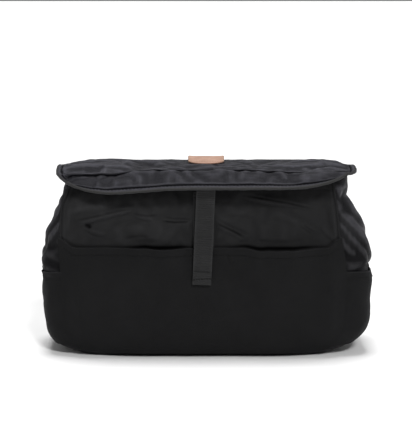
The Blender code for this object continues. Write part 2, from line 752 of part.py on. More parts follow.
def main():
    clear_scene()
    fabric = material("waxed_cotton", CHARCOAL, 0.75)
    dark_fabric = material("pocket_cotton", BLACK, 0.80)
    inner_cloth = material("lining_cloth", GREY_LINING, 0.85)
    board = material("base_board_grey", GREY_LINING, 0.60)
    edge = material("edge_binding", BLACK, 0.70)
    webbing = material("webbing", BLACK, 0.65)
    leather = material("tan_leather", TAN, 0.55)
    metal = material("dark_metal", GUNMETAL, 0.35, 1.0)
    plastic = material("slider_plastic", BLACK, 0.40)
    build_body(fabric, dark_fabric, inner_cloth, board)
    build_flap(fabric, edge, leather)
    build_closure(webbing, metal)
    build_shoulder_strap(webbing, metal, plastic)


main()
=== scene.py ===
import itertools
import math

import bpy
import numpy as np
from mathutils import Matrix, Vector


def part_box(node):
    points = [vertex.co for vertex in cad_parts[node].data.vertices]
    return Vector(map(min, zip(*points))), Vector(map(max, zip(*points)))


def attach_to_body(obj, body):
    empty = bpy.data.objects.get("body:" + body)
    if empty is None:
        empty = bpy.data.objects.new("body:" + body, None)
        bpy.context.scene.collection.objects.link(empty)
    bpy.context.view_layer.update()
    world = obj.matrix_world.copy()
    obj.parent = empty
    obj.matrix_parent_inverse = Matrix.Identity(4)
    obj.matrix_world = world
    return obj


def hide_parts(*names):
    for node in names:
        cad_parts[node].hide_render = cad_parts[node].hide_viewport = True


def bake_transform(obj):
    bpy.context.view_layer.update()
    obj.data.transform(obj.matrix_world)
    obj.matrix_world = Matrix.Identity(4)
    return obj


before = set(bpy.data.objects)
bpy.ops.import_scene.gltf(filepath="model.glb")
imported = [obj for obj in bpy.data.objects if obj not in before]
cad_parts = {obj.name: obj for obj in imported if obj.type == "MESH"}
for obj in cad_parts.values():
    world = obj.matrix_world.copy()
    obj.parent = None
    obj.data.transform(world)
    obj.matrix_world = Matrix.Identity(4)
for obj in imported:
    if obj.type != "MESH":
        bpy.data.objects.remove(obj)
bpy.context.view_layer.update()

# ---- sizes shared with the CAD model, in metres; the tables hold (height, value) ----
FABRIC = 0.0014
RIM_Z = 0.190
SIDE_HEM_Z = 0.092
CREASE_Y = -0.050
CREASE_Z = 0.1985
FLAP_RISE = -0.020
FLAP_LEFT = 0.1575
FLAP_RIGHT = 0.1562
FLAP_CENTRE_Y = -0.0115
FLAP_HALF_DEPTH = 0.0665
FLAP_REAR_DEPTH = 0.108
FLAP_ROUND = 4.3              # roundness of the outline in front of its widest line
FLAP_REAR_ROUND = 2.0         # and behind it
FLAP_BACK_Y = 0.055
FLAP_CLOTH = 0.0022
RING_X = 0.132
RING_Y = 0.0630
RING_Z = 0.160
HALF_WIDTH = [(0.0, 0.149), (0.008, 0.163), (0.030, 0.174), (0.080, 0.1765),
              (0.130, 0.169), (0.155, 0.158), (RIM_Z, 0.149)]
FRONT_DEPTH = [(0.0, 0.050), (0.008, 0.0550), (0.030, 0.0590), (0.080, 0.0590),
               (0.119, 0.0575), (0.155, 0.0560), (RIM_Z, 0.0520)]
BACK_DEPTH = [(0.0, 0.050), (0.008, 0.0540), (0.030, 0.0575), (0.080, 0.0580),
              (0.119, 0.0565), (0.155, 0.0545), (RIM_Z, 0.0505)]
FLAT_SHARE = [(0.0, 0.88), (0.030, 0.87), (0.080, 0.865), (0.130, 0.885), (0.155, 0.915), (RIM_Z, 0.935)]

# ---- how the sewn bag differs from its plain solid ----
LEFT_SHIFT = [(0.0, -0.012), (0.004, -0.009), (0.010, -0.004), (0.018, -0.0025), (0.030, -0.0025),
              (0.085, -0.0025), (0.105, 0.0012), (0.122, 0.0004), (0.140, -0.0008), (0.155, 0.0006),
              (0.170, -0.0010), (RIM_Z, -0.002)]
RIGHT_SHIFT = [(0.0, -0.019), (0.004, -0.016), (0.010, -0.0105), (0.018, -0.0055), (0.030, -0.0030),
               (0.085, -0.0030), (0.100, 0.0006), (0.112, -0.0002), (0.130, -0.0032), (0.146, -0.0028),
               (0.160, -0.0058), (0.168, -0.0092), (0.178, -0.0052), (RIM_Z, -0.001)]
LEFT_SEAM = [(0.0, 0.118), (0.004, 0.125), (0.010, 0.135), (0.030, 0.145), (0.060, 0.149), (0.100, 0.1515),
             (0.125, 0.1528), (0.160, 0.1515), (0.172, 0.1470), (RIM_Z, 0.1400)]
RIGHT_SEAM = [(0.0, 0.110), (0.004, 0.117), (0.010, 0.127), (0.030, 0.140), (0.060, 0.144), (0.100, 0.1430),
              (0.125, 0.1385), (0.155, 0.1358), (0.175, 0.1330), (RIM_Z, 0.1310)]
LEFT_ROUND = [(0.0, 6.0), (0.030, 6.0), (0.080, 8.0), (0.120, 12.0), (0.150, 15.0), (RIM_Z, 12.0)]
RIGHT_ROUND = [(0.0, 5.5), (0.030, 5.5), (0.080, 5.8), (0.120, 6.5), (0.150, 7.0), (RIM_Z, 8.0)]
BACK_ROUND = [(0.0, 5.9), (0.030, 5.6), (0.080, 5.4), (0.130, 6.1), (0.155, 7.1), (RIM_Z, 7.8)]
POCKET_LOW_Z = 0.004
BOARD_INSET = 0.0075
THREAD_LIFT = 0.0001
POCKET_HEM_Z = 0.1182
LIP_EDGE = [  # (x, z)
            (-0.159, 0.1962), (-0.1545, 0.1935), (-0.1460, 0.1868), (-0.1310, 0.1822), (-0.1150, 0.1790),
            (-0.098, 0.1778), (-0.070, 0.1797), (-0.042, 0.1819), (0.0, 0.1827), (0.060, 0.1829),
            (0.096, 0.1834), (0.1170, 0.1862), (0.1370, 0.1915), (0.1500, 0.1962), (0.1575, 0.1976)]


# ---- number helpers ----
def smooth(value):
    """0 below 0, 1 above 1, smooth between."""
    t = np.clip(value, 0.0, 1.0)
    return t * t * (3 - 2 * t)


def hump(distance, width):
    """1 at no distance, falling away within a width."""
    return np.exp(-(distance / width) ** 2)


def profile(table, at):
    """Reads a table of (position, value) along a smooth curve, for a number or an array."""
    places = np.array([row[0] for row in table])
    values = np.array([row[1] for row in table])
    count = len(table)
    before = np.maximum(np.arange(count) - 1, 0)
    after = np.minimum(np.arange(count) + 1, count - 1)
    slopes = (values[after] - values[before]) / (places[after] - places[before])
    at = np.clip(np.asarray(at, float), places[0], places[-1])
    i = np.clip(np.searchsorted(places, at, side="right") - 1, 0, count - 2)
    step = places[i + 1] - places[i]
    t = (at - places[i]) / step
    return ((2 * t**3 - 3 * t**2 + 1) * values[i] + (t**3 - 2 * t**2 + t) * step * slopes[i]
            + (3 * t**2 - 2 * t**3) * values[i + 1] + (t**3 - t**2) * step * slopes[i + 1])


class Noise:
    """Smooth seeded noise, about -1 to 1, read at arrays of points."""

    def __init__(self, seed):
        draw = np.random.default_rng(seed)
        order = draw.permutation(256)
        self.order = np.concatenate([order, order, order])
        slopes = draw.normal(size=(256, 3))
        self.slopes = slopes / np.linalg.norm(slopes, axis=1)[:, None]

    def __call__(self, x, y, z, size):
        spot = np.stack(np.broadcast_arrays(x, y, z), -1).astype(float) / size
        cell = np.floor(spot).astype(int)
        inside = spot - cell
        weight = inside**3 * (inside * (6 * inside - 15) + 10)
        total = np.zeros(spot.shape[:-1])
        for corner in itertools.product((0, 1), repeat=3):
            index = (cell + corner) & 255
            pick = self.order[self.order[self.order[index[..., 0]] + index[..., 1]] + index[..., 2]]
            reach = ((inside - corner) * self.slopes[pick]).sum(-1)
            share = np.ones(spot.shape[:-1])
            for axis in range(3):
                share = share * (weight[..., axis] if corner[axis] else 1 - weight[..., axis])
            total += reach * share
        return total * 1.6


def fold(x, y, path, width, height, groove=0.45, side=1.0, fade=0.25):
    """A soft ridge along a path of (x, y) with a narrow groove beside it, fading out at both ends."""
    best = np.full(np.shape(x), 1e9)
    signed = np.zeros(np.shape(x))
    along = np.zeros(np.shape(x))
    lengths = [math.dist(a, b) for a, b in zip(path, path[1:])]
    total = sum(lengths)
    done = 0.0
    for (x0, y0), (x1, y1), length in zip(path, path[1:], lengths):
        dx = (x1 - x0) / length
        dy = (y1 - y0) / length
        t = np.clip((x - x0) * dx + (y - y0) * dy, 0, length)
        away = np.hypot(x - x0 - t * dx, y - y0 - t * dy)
        cross = (x - x0) * dy - (y - y0) * dx
        near = away < best
        best = np.where(near, away, best)
        signed = np.where(near, np.where(cross < 0, -away, away), signed)
        along = np.where(near, (done + t) / total, along)
        done += length
    ends = smooth(along / fade) * smooth((1 - along) / fade)
    ridge = hump(signed, width) - groove * hump(signed - side * 1.35 * width, 0.45 * width)
    return height * ends * ridge


def with_folds(relief, x, y, folds, share=1.0):
    """A relief with folds added, each a path, a width, a height and, where given, a groove and its side."""
    for one in folds:
        relief = relief + share * fold(x, y, *one)
    return relief


def unit(vectors):
    return vectors / np.maximum(np.linalg.norm(vectors, axis=-1, keepdims=True), 1e-12)


def square_to(vectors, along):
    """Directions turned square to a path, of length 1."""
    return unit(vectors - along * (vectors * along).sum(-1)[:, None])


def distances(points):
    """How far along a path each of its points is."""
    return np.concatenate([[0], np.cumsum(np.linalg.norm(np.diff(points, axis=0), axis=1))])


def per_point(values, count):
    """Rows of three numbers, one for each point of a path, from a single row or from rows evenly spaced."""
    values = np.asarray(values, float)
    if values.ndim == 1:
        return np.broadcast_to(values, (count, 3))
    given = np.linspace(0, 1, len(values))
    at = np.linspace(0, 1, count)
    return np.stack([np.interp(at, given, values[:, k]) for k in range(3)], -1)


def grid_normals(points, outward, closed=False):
    """Normals of a grid of points, turned to the side that outward (a vector or an array) points to."""
    across = np.gradient(points, axis=1)
    if closed:
        across = (np.roll(points, -1, axis=1) - np.roll(points, 1, axis=1)) / 2
    normals = unit(np.cross(across, np.gradient(points, axis=0)))
    agreed = (normals * np.broadcast_to(outward, normals.shape)).sum(-1).mean()
    return normals if agreed > 0 else -normals


# ---- cloth simulation ----
SIM_FRAMES = 26
SIM_STEP = 0.0032
COTTON_FABRIC = {"quality": 6, "mass": 0.25, "tension_stiffness": 40, "compression_stiffness": 40,
                 "shear_stiffness": 20, "tension_damping": 8, "compression_damping": 8, "shear_damping": 8,
                 "bending_damping": 0.6, "air_damping": 2}
CREASE_HEIGHT = 0.00016       # a ridge this sharp gets the full rubbed wear and painted highlight, a groove this sharp the full painted shade
LAID_ROUGHNESS = 0.0007
CLOTH_GROWTH = 0.045          # how much too large each cloth is for its seams


def settle(x, z, start, pins, bending):
    """Heights of a cloth that is cut a little too large, once it has buckled between its sewn edges."""
    rows, columns = x.shape
    index = np.arange(rows * columns).reshape(rows, columns)
    faces = np.stack([index[:-1, :-1], index[:-1, 1:], index[1:, 1:], index[1:, :-1]], -1).reshape(-1, 4)
    points = np.stack([x, z, start], -1)
    mesh = bpy.data.meshes.new("settling")
    mesh.from_pydata(points.reshape(-1, 3).tolist(), [], faces.tolist())
    made = placed("settling", mesh)
    group = made.vertex_groups.new(name="sewn")
    group.add(np.nonzero(pins.ravel())[0].tolist(), 1.0, "REPLACE")
    cloth = made.modifiers.new("cloth", "CLOTH")
    fabric = cloth.settings
    for setting, value in COTTON_FABRIC.items():
        setattr(fabric, setting, value)
    fabric.bending_stiffness = bending
    fabric.vertex_group_mass = "sewn"
    fabric.shrink_min = -CLOTH_GROWTH
    fabric.shrink_max = -CLOTH_GROWTH
    fabric.effector_weights.gravity = 0
    cloth.collision_settings.use_collision = False
    cloth.point_cache.frame_start = 1
    cloth.point_cache.frame_end = SIM_FRAMES
    for step in range(1, SIM_FRAMES + 1):
        bpy.context.scene.frame_set(step)
    settled = made.evaluated_get(bpy.context.evaluated_depsgraph_get())
    places = np.zeros(rows * columns * 3)
    settled.to_mesh().vertices.foreach_get("co", places)
    bpy.data.objects.remove(made)
    bpy.context.scene.frame_set(1)
    return places.reshape(rows, columns, 3)[..., 2]


def blur(heights):
    """Evens out a grid of heights with its next neighbours."""
    for axis in (0, 1):
        before = np.roll(heights, 1, axis)
        after = np.roll(heights, -1, axis)
        heights = 0.25 * before + 0.5 * heights + 0.25 * after
    return heights


def cavity(heights, passes=3):
    """1 on sharp ridges, -1 in sharp grooves, from a grid of heights; it sets painted highlight on ridges and
    painted shade in grooves.
    """
    even = heights
    for _ in range(passes):
        even = blur(even)
    shown = np.clip((heights - even) / CREASE_HEIGHT, -0.40, 1)
    shown[[0, -1]] = 0
    shown[:, [0, -1]] = 0
    return shown


class Buckled:
    """Heights of a buckled cloth over a rectangle, read smoothly at any point."""

    def __init__(self, low, high, start, sewn, bending, seed):
        self.low = low
        self.counts = [int(round((high[k] - low[k]) / SIM_STEP)) + 1 for k in range(2)]
        self.steps = [(high[k] - low[k]) / (self.counts[k] - 1) for k in range(2)]
        x, z = np.meshgrid(*(np.linspace(low[k], high[k], self.counts[k]) for k in range(2)))
        first = start(x, z)
        pins = sewn(x, z)
        pins[[0, -1]] = True
        pins[:, [0, -1]] = True
        draw = np.random.default_rng(seed)
        rough = blur(draw.normal(size=x.shape)) * LAID_ROUGHNESS * ~pins
        self.heights = blur(settle(x, z, first + rough, pins, bending))

    def __call__(self, x, z):
        spots = [np.clip((at - self.low[k]) / self.steps[k], 0, self.counts[k] - 1.001)
                 for k, at in enumerate((x, z))]
        column, row = (np.floor(spot).astype(int) for spot in spots)
        total = np.zeros(np.shape(spots[0]))
        for i, share_z in enumerate(cubic_shares(spots[1] - row)):
            for k, share_x in enumerate(cubic_shares(spots[0] - column)):
                r = np.clip(row + i - 1, 0, self.counts[1] - 1)
                c = np.clip(column + k - 1, 0, self.counts[0] - 1)
                total += self.heights[r, c] * share_z * share_x
        return total


def cubic_shares(t):
    """What each of four neighbours counts for, a share t past the second."""
    return (0.5 * (-t + 2 * t**2 - t**3), 0.5 * (2 - 5 * t**2 + 3 * t**3),
            0.5 * (t + 4 * t**2 - 3 * t**3), 0.5 * (-t**2 + t**3))


# ---- mesh builders ----
def placed(name, data):
    """A new object in the scene, of a mesh, a light or a camera."""
    made = bpy.data.objects.new(name, data)
    bpy.context.scene.collection.objects.link(made)
    return made


def new_object(name, points, faces, look, sharp=50):
    mesh = bpy.data.meshes.new(name)
    mesh.from_pydata(np.asarray(points).reshape(-1, 3).tolist(), [], faces)
    mesh.materials.append(look)
    mesh.shade_smooth()
    if sharp:
        mesh.set_sharp_from_angle(angle=math.radians(sharp))
    mesh.update()
    return placed(name, mesh)


def attach(made, body, slot=None, *nodes):
    """Fixes a piece to a body and hides the CAD nodes it replaces; the slot argument is not used."""
    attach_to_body(made, body)
    if nodes:
        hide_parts(*nodes)


def add_uv(made, flat):
    """Gives each face corner the flat position, in metres, of its point."""
    mesh = made.data
    layer = mesh.uv_layers.new(name="cloth")
    index = np.zeros(len(mesh.loops), int)
    mesh.loops.foreach_get("vertex_index", index)
    layer.data.foreach_set("uv", flat[index].astype(np.float32).ravel())


def add_wear_and_painted_light(made, values):
    """Above 0 a point is painted paler and glossier, for rubbed wear and for painted highlight on ridges;
    below 0 it is painted darker and duller, mostly as painted shade in creases and under overhangs.
    """
    attribute = made.data.attributes.new("wear_and_painted_light", "FLOAT", "POINT")
    attribute.data.foreach_set("value", np.asarray(values, np.float32).ravel())


def flat_positions(points):
    """Cloth coordinates of a grid: lengths along its rows and its columns."""
    across = np.linalg.norm(np.diff(points, axis=1), axis=-1)
    up = np.linalg.norm(np.diff(points, axis=0), axis=-1)
    u = np.concatenate([np.zeros((points.shape[0], 1)), np.cumsum(across, axis=1)], axis=1)
    v = np.concatenate([np.zeros((1, points.shape[1])), np.cumsum(up, axis=0)], axis=0)
    u = u - u[:, points.shape[1] // 2][:, None]
    return np.stack([u, v], -1)


def sheet(name, outer, inner, look, closed=False, wear_and_painted_light=None, flat=None):
    """A closed sheet between an outer and an inner grid of points."""
    rows, columns = outer.shape[:2]
    offset = rows * columns
    index = np.arange(offset).reshape(rows, columns)
    if closed:
        right = np.roll(index, -1, axis=1)
    else:
        right = index[:, 1:]
        index = index[:, :-1]
    a, b, c, d = index[:-1], right[:-1], right[1:], index[1:]
    first = unit(np.cross(outer[0, 1] - outer[0, 0], outer[1, 0] - outer[0, 0]))
    flip = (first * (outer[0, 0] - inner[0, 0])).sum() < 0
    front = np.stack([a, b, c, d], -1).reshape(-1, 4)
    back = np.stack([a, d, c, b], -1).reshape(-1, 4) + offset
    low = np.stack([index[0], index[0] + offset, right[0] + offset, right[0]], -1)
    high = np.stack([index[-1], right[-1], right[-1] + offset, index[-1] + offset], -1)
    parts = [front, back, low, high]
    if not closed:
        start, end = index[:, 0], right[:, -1]
        parts.append(np.stack([start[:-1], start[1:], start[1:] + offset, start[:-1] + offset], -1))
        parts.append(np.stack([end[:-1], end[:-1] + offset, end[1:] + offset, end[1:]], -1))
    faces = np.concatenate(parts)
    if flip:
        faces = faces[:, ::-1]
    points = np.concatenate([outer.reshape(-1, 3), inner.reshape(-1, 3)])
    made = new_object(name, points, faces.tolist(), look)
    if flat is None:
        flat = flat_positions(outer)
    add_uv(made, np.concatenate([flat.reshape(-1, 2)] * 2))
    if wear_and_painted_light is None:
        wear_and_painted_light = np.zeros(outer.shape[:2])
    add_wear_and_painted_light(made, np.concatenate([wear_and_painted_light.ravel(), 0.3 * wear_and_painted_light.ravel()]))
    return made


def resample(path, step, closed=False):
    """Points along a smooth curve through the path, a step apart."""
    path = np.asarray(path, float)
    count = len(path)
    spans = count if closed else count - 1
    dense = []
    for i in range(spans):
        if closed:
            p0, p1, p2, p3 = (path[(i + k) % count] for k in (-1, 0, 1, 2))
        else:
            p0, p1, p2, p3 = (path[min(max(i + k, 0), count - 1)] for k in (-1, 0, 1, 2))
        t = np.linspace(0, 1, 16, endpoint=False)[:, None]
        dense.append(0.5 * (2 * p1 + (p2 - p0) * t + (2 * p0 - 5 * p1 + 4 * p2 - p3) * t**2
                            + (3 * p1 - p0 - 3 * p2 + p3) * t**3))
    dense.append(path[:1] if closed else path[-1:])
    dense = np.concatenate(dense)
    lengths = distances(dense)
    steps = max(int(round(lengths[-1] / step)), 3)
    at = np.linspace(0, lengths[-1], steps + 1)
    if closed:
        at = at[:-1]
    return np.stack([np.interp(at, lengths, dense[:, k]) for k in range(3)], -1)


def ring_faces(count, sides, closed=False):
    """Faces between rings of points, with a cap at each end unless the last ring meets the first."""
    faces = []
    for i in range(count if closed else count - 1):
        n = ((i + 1) % count) * sides
        for k in range(sides):
            m = (k + 1) % sides
            faces.append((i * sides + k, i * sides + m, n + m, n + k))
    if not closed:
        faces.append(tuple(reversed(range(sides))))
        faces.append(tuple(range((count - 1) * sides, count * sides)))
    return faces


def tube(name, path, radius, look, sides, step, closed=False, ripple=None):
    """A round wire or piping along a smooth path; radius may be a number or a function of the share done."""
    points = resample(path, step, closed)
    count = len(points)
    if closed:
        tangents = unit(np.roll(points, -1, axis=0) - np.roll(points, 1, axis=0))
    else:
        tangents = unit(np.gradient(points, axis=0))
    guide = np.array([0.0, 0.0, 1.0]) if abs(tangents[0][2]) < 0.9 else np.array([0.0, 1.0, 0.0])
    side = guide - tangents[0] * guide.dot(tangents[0])
    rings = []
    angles = np.linspace(0, 2 * math.pi, sides, endpoint=False)
    for i in range(count):
        side = unit(side - tangents[i] * side.dot(tangents[i]))
        across = np.cross(tangents[i], side)
        size = radius(i / max(count - 1, 1)) if callable(radius) else radius
        if ripple is not None:
            size = size * ripple(i)
        rings.append(points[i] + (np.outer(np.cos(angles), side) + np.outer(np.sin(angles), across)) * size)
    made = new_object(name, np.array(rings), ring_faces(count, sides, closed), look, 60)
    u = np.repeat(np.arange(count) * np.linalg.norm(points[1] - points[0]), sides)
    v = np.tile(angles / (2 * math.pi) * 0.008, count)
    add_uv(made, np.stack([u, v], -1))
    add_wear_and_painted_light(made, np.zeros(len(u)))
    return made


def ribbed_strip(name, path, wide, width, thickness, look, pitch=0.0017, rib=0.00020, columns=13):
    """Webbing along a smooth path: crosswise ribs on both faces, and thin rounded edges."""
    step = pitch / 5
    centre = resample(path, step)
    count = len(centre)
    along = unit(np.gradient(centre, axis=0))
    wide = square_to(per_point(wide, count), along)
    normal = np.cross(along, wide)
    share = np.linspace(-1, 1, columns)
    edge = 1 - 0.45 * np.abs(share) ** 10
    distance = np.arange(count) * np.linalg.norm(centre[1] - centre[0])
    wave = np.cos(2 * math.pi * distance / pitch)
    selvedge = 1 - 0.7 * smooth((np.abs(share) - 0.80) / 0.14)
    ribs = rib * 0.5 * wave[:, None] * selvedge[None, :]
    front = (thickness / 2 - rib / 2 + ribs) * edge[None, :]
    back = (thickness / 2 - rib / 2 - ribs) * edge[None, :]
    spread = centre[:, None, :] + wide[:, None, :] * (share[None, :, None] * width / 2)
    outer = spread + normal[:, None, :] * front[..., None]
    inner = spread - normal[:, None, :] * back[..., None]
    flat = np.stack(np.broadcast_arrays(share[None, :] * width / 2, distance[:, None]), -1)
    wear_and_painted_light = np.broadcast_to(smooth((np.abs(share) - 0.75) / 0.25)[None, :], (count, columns))
    return sheet(name, outer, inner, look, wear_and_painted_light=wear_and_painted_light, flat=flat)


def turned(name, rings, centre, look, sides=28):
    """A turned piece about an upright axis, from (radius, height) pairs."""
    angles = np.linspace(0, 2 * math.pi, sides, endpoint=False)
    points = [[(centre[0] + r * math.cos(a), centre[1] + r * math.sin(a), centre[2] + h) for a in angles]
              for r, h in rings]
    return new_object(name, np.array(points), ring_faces(len(rings), sides), look, 40)


STITCH_SHAPE = [(-0.50, 0.05, -0.6), (-0.42, 0.75, -0.1), (-0.25, 1.0, 0.25), (0.0, 1.0, 0.35),
                (0.25, 1.0, 0.25), (0.42, 0.75, -0.1), (0.50, 0.05, -0.6)]
STITCH_SINK = 0.35            # how much of a stitch's rise is pulled into the cloth


def stitches(name, path, outward, look, length=0.0026, gap=0.0010, radius=0.00028):
    """A row of sewing stitches lying on a surface: one small thread capsule each."""
    spots = resample(path, length + gap)
    along = unit(np.gradient(spots, axis=0))
    normal = square_to(per_point(outward, len(spots)), along)
    across = np.cross(along, normal)
    sides = 6
    angles = np.linspace(0, 2 * math.pi, sides, endpoint=False)
    points = []
    faces = []
    for spot, t, n, b in zip(spots, along, normal, across):
        base = len(points)
        for share, size, lift in STITCH_SHAPE:
            middle = spot + t * (share * length) + n * ((1 - STITCH_SINK) * radius * lift)
            for a in angles:
                points.append(middle + (n * math.cos(a) + b * math.sin(a)) * radius * size)
        for i in range(len(STITCH_SHAPE) - 1):
            for k in range(sides):
                m = (k + 1) % sides
                faces.append((base + i * sides + k, base + (i + 1) * sides + k,
                              base + (i + 1) * sides + m, base + i * sides + m))
    made = new_object(name, np.array(points), faces, look, 0)
    add_wear_and_painted_light(made, np.zeros(len(points)))
    return made


# ---- materials ----
class Look:
    """A node material with a few short-hands for building procedural detail."""

    def __init__(self, name):
        self.made = bpy.data.materials.new(name)
        self.made.use_nodes = True
        self.tree = self.made.node_tree
        self.shader = self.tree.nodes["Principled BSDF"]
        self.height = None

    def node(self, kind, **values):
        made = self.tree.nodes.new(kind)
        for key, value in values.items():
            setattr(made, key, value)
        return made

    def link(self, a, b):
        self.tree.links.new(a, b)

    def put(self, socket, value):
        if isinstance(value, (int, float, tuple)):
            socket.default_value = value
        else:
            self.link(value, socket)

    def math(self, operation, a, b=0.0, c=0.0):
        made = self.node("ShaderNodeMath", operation=operation)
        for socket, value in zip(made.inputs, (a, b, c)):
            self.put(socket, value)
        return made.outputs[0]

    def place(self):
        return self.node("ShaderNodeTexCoord").outputs["Object"]

    def cloth(self):
        made = self.node("ShaderNodeUVMap")
        made.uv_map = "cloth"
        split = self.node("ShaderNodeSeparateXYZ")
        self.link(made.outputs[0], split.inputs[0])
        return split.outputs[0], split.outputs[1]

    def noise(self, scale, detail=3.0, roughness=0.5, distortion=0.0):
        made = self.node("ShaderNodeTexNoise")
        self.link(self.place(), made.inputs["Vector"])
        values = {"Scale": scale, "Detail": detail, "Roughness": roughness, "Distortion": distortion}
        for key, value in values.items():
            made.inputs[key].default_value = value
        return made.outputs["Fac"]

    def cells(self, scale, feature="F1"):
        made = self.node("ShaderNodeTexVoronoi", feature=feature)
        made.inputs["Scale"].default_value = scale
        self.link(self.place(), made.inputs["Vector"])
        return made.outputs["Distance"]

    def range(self, value, low, high, to_low, to_high):
        made = self.node("ShaderNodeMapRange")
        for socket, number in zip(made.inputs, (value, low, high, to_low, to_high)):
            self.put(socket, number)
        return made.outputs[0]

    def mottle(self, scale, detail, to_low=0.0, to_high=1.0, roughness=0.5):
        """Noise whose middle part is stretched between two values."""
        return self.range(self.noise(scale, detail, roughness), 0.3, 0.7, to_low, to_high)

    def waves(self, across, pitch):
        return self.math("SINE", self.math("MULTIPLY", across, 2 * math.pi / pitch))

    def mix(self, factor, a, b):
        made = self.node("ShaderNodeMix", data_type="RGBA")
        self.put(made.inputs[0], factor)
        for socket, value in ((made.inputs[6], a), (made.inputs[7], b)):
            self.put(socket, (*value, 1.0) if isinstance(value, tuple) else value)
        return made.outputs[2]

    def wear_and_painted_light(self):
        made = self.node("ShaderNodeAttribute")
        made.attribute_name = "wear_and_painted_light"
        return made.outputs["Fac"]

    def bump(self, height, distance, strength=1.0):
        made = self.node("ShaderNodeBump")
        made.inputs["Strength"].default_value = strength
        made.inputs["Distance"].default_value = distance
        self.link(height, made.inputs["Height"])
        if self.height is not None:
            self.link(self.height, made.inputs["Normal"])
        self.height = made.outputs[0]

    def finish(self, colour, roughness, **fixed):
        self.link(colour, self.shader.inputs["Base Color"])
        self.put(self.shader.inputs["Roughness"], roughness)
        for name, value in fixed.items():
            self.shader.inputs[name.replace("_", " ")].default_value = value
        if self.height is not None:
            self.link(self.height, self.shader.inputs["Normal"])
        return self.made


def woven(look, pitch, depth):
    """A plain weave: threads that pass over and under each other."""
    u, v = look.cloth()
    over = look.math("MULTIPLY", look.waves(u, 2 * pitch), look.waves(v, 2 * pitch))
    look.bump(look.math("ADD", over, look.math("MULTIPLY", look.noise(2200.0, 2.0), 0.8)), depth)
    return over


def cotton(name, dark, light, worn_and_highlight_tone, roughness, sheen, gloss, crumple=0.0005):
    """Waxed cotton between a dark and a light tone; the third tone is its tone where it is rubbed and the
    painted highlight on its ridges, and creases get a near-black painted shade.
    """
    look = Look(name)
    over = woven(look, 0.00055, 0.00010)
    look.bump(look.noise(55.0, 5.0, 0.55, distortion=0.4), crumple * 2.2, 0.5)
    look.bump(look.noise(260.0, 4.0, 0.6), crumple * 0.5, 0.5)
    clouds = look.range(look.noise(18.0, 4.0, 0.6), 0.32, 0.68, 0.0, 1.0)
    base = look.mix(clouds, dark, light)
    threads = look.range(over, -1.0, 1.0, 0.0, 0.22)
    base = look.mix(threads, base, worn_and_highlight_tone)
    # Pale mix from the wear attribute: partly rubbed wear, partly painted highlight on ridges and folds.
    rubbed_and_highlit_part = look.range(look.wear_and_painted_light(), 0.0, 1.0, 0.0, 1.0)
    rubbed = look.math("MULTIPLY", rubbed_and_highlit_part, look.range(look.noise(140.0, 4.0, 0.7), 0.3, 0.75, 0.25, 1.0))
    base = look.mix(rubbed, base, worn_and_highlight_tone)
    # Painted shade: below 0 the wear attribute darkens the cloth nearly to black, in creases, above the
    # pocket's hem and under the flap.
    base = look.mix(look.range(look.wear_and_painted_light(), -1.0, 0.0, 0.88, 0.0), base, tuple(0.1 * c for c in dark))
    rough = look.mottle(30.0, 3.0, roughness - 0.06, roughness + 0.08)
    # Gloss and sheen follow it too: brighter painted highlight on ridges, dull painted shade in creases.
    look.put(look.shader.inputs["Specular IOR Level"], look.range(look.wear_and_painted_light(), -1.0, 1.0, 0.0, 2.0 * gloss))
    look.put(look.shader.inputs["Sheen Weight"], look.range(look.wear_and_painted_light(), -1.0, 1.0, 0.0, 2.0 * sheen))
    return look.finish(base, rough, Sheen_Roughness=0.45, Sheen_Tint=(0.88, 0.87, 1.0, 1.0))


def webbing_look(name, dark, light, worn_and_highlight_tone):
    look = Look(name)
    u, v = look.cloth()
    lines = look.math("MULTIPLY", look.waves(u, 0.0011), 0.7)
    look.bump(look.math("ADD", look.waves(v, 0.00085), lines), 0.00009)
    look.bump(look.noise(1400.0, 3.0), 0.00008)
    base = look.mix(look.mottle(90.0, 4.0), dark, light)
    base = look.mix(look.math("MULTIPLY", look.wear_and_painted_light(), 0.5), base, worn_and_highlight_tone)
    rough = look.mottle(70.0, 2.0, 0.55, 0.72)
    return look.finish(base, rough, Sheen_Weight=0.03, Sheen_Roughness=0.5, Specular_IOR_Level=0.12)


def lining_look():
    look = Look("lining_twill")
    u, v = look.cloth()
    ramp = look.waves(look.math("ADD", u, v), 0.0009)
    look.bump(ramp, 0.00008)
    look.bump(look.noise(70.0, 4.0), 0.0008, 0.5)
    base = look.mix(look.mottle(25.0, 3.0), (0.085, 0.087, 0.092), (0.12, 0.122, 0.128))
    base = look.mix(look.range(ramp, -1.0, 1.0, 0.0, 0.3), base, (0.17, 0.172, 0.18))
    rough = look.mottle(40.0, 2.0, 0.68, 0.82)
    return look.finish(base, rough, Sheen_Weight=0.15, Specular_IOR_Level=0.3)


def leather_look():
    look = Look("tan_leather_grain")
    creases = look.cells(420.0, feature="DISTANCE_TO_EDGE")
    look.bump(look.range(creases, 0.0, 0.12, 0.0, 1.0), 0.00012)
    look.bump(look.cells(900.0), 0.00006)
    look.bump(look.noise(120.0, 4.0), 0.0002, 0.6)
    tone = look.mottle(75.0, 5.0, roughness=0.6)
    base = look.mix(tone, (0.36, 0.205, 0.145), (0.50, 0.315, 0.235))
    base = look.mix(look.wear_and_painted_light(), base, (0.16, 0.075, 0.045))
    rough = look.mottle(160.0, 3.0, 0.42, 0.60)
    return look.finish(base, rough, Specular_IOR_Level=0.45, Coat_Weight=0.08, Coat_Roughness=0.35)


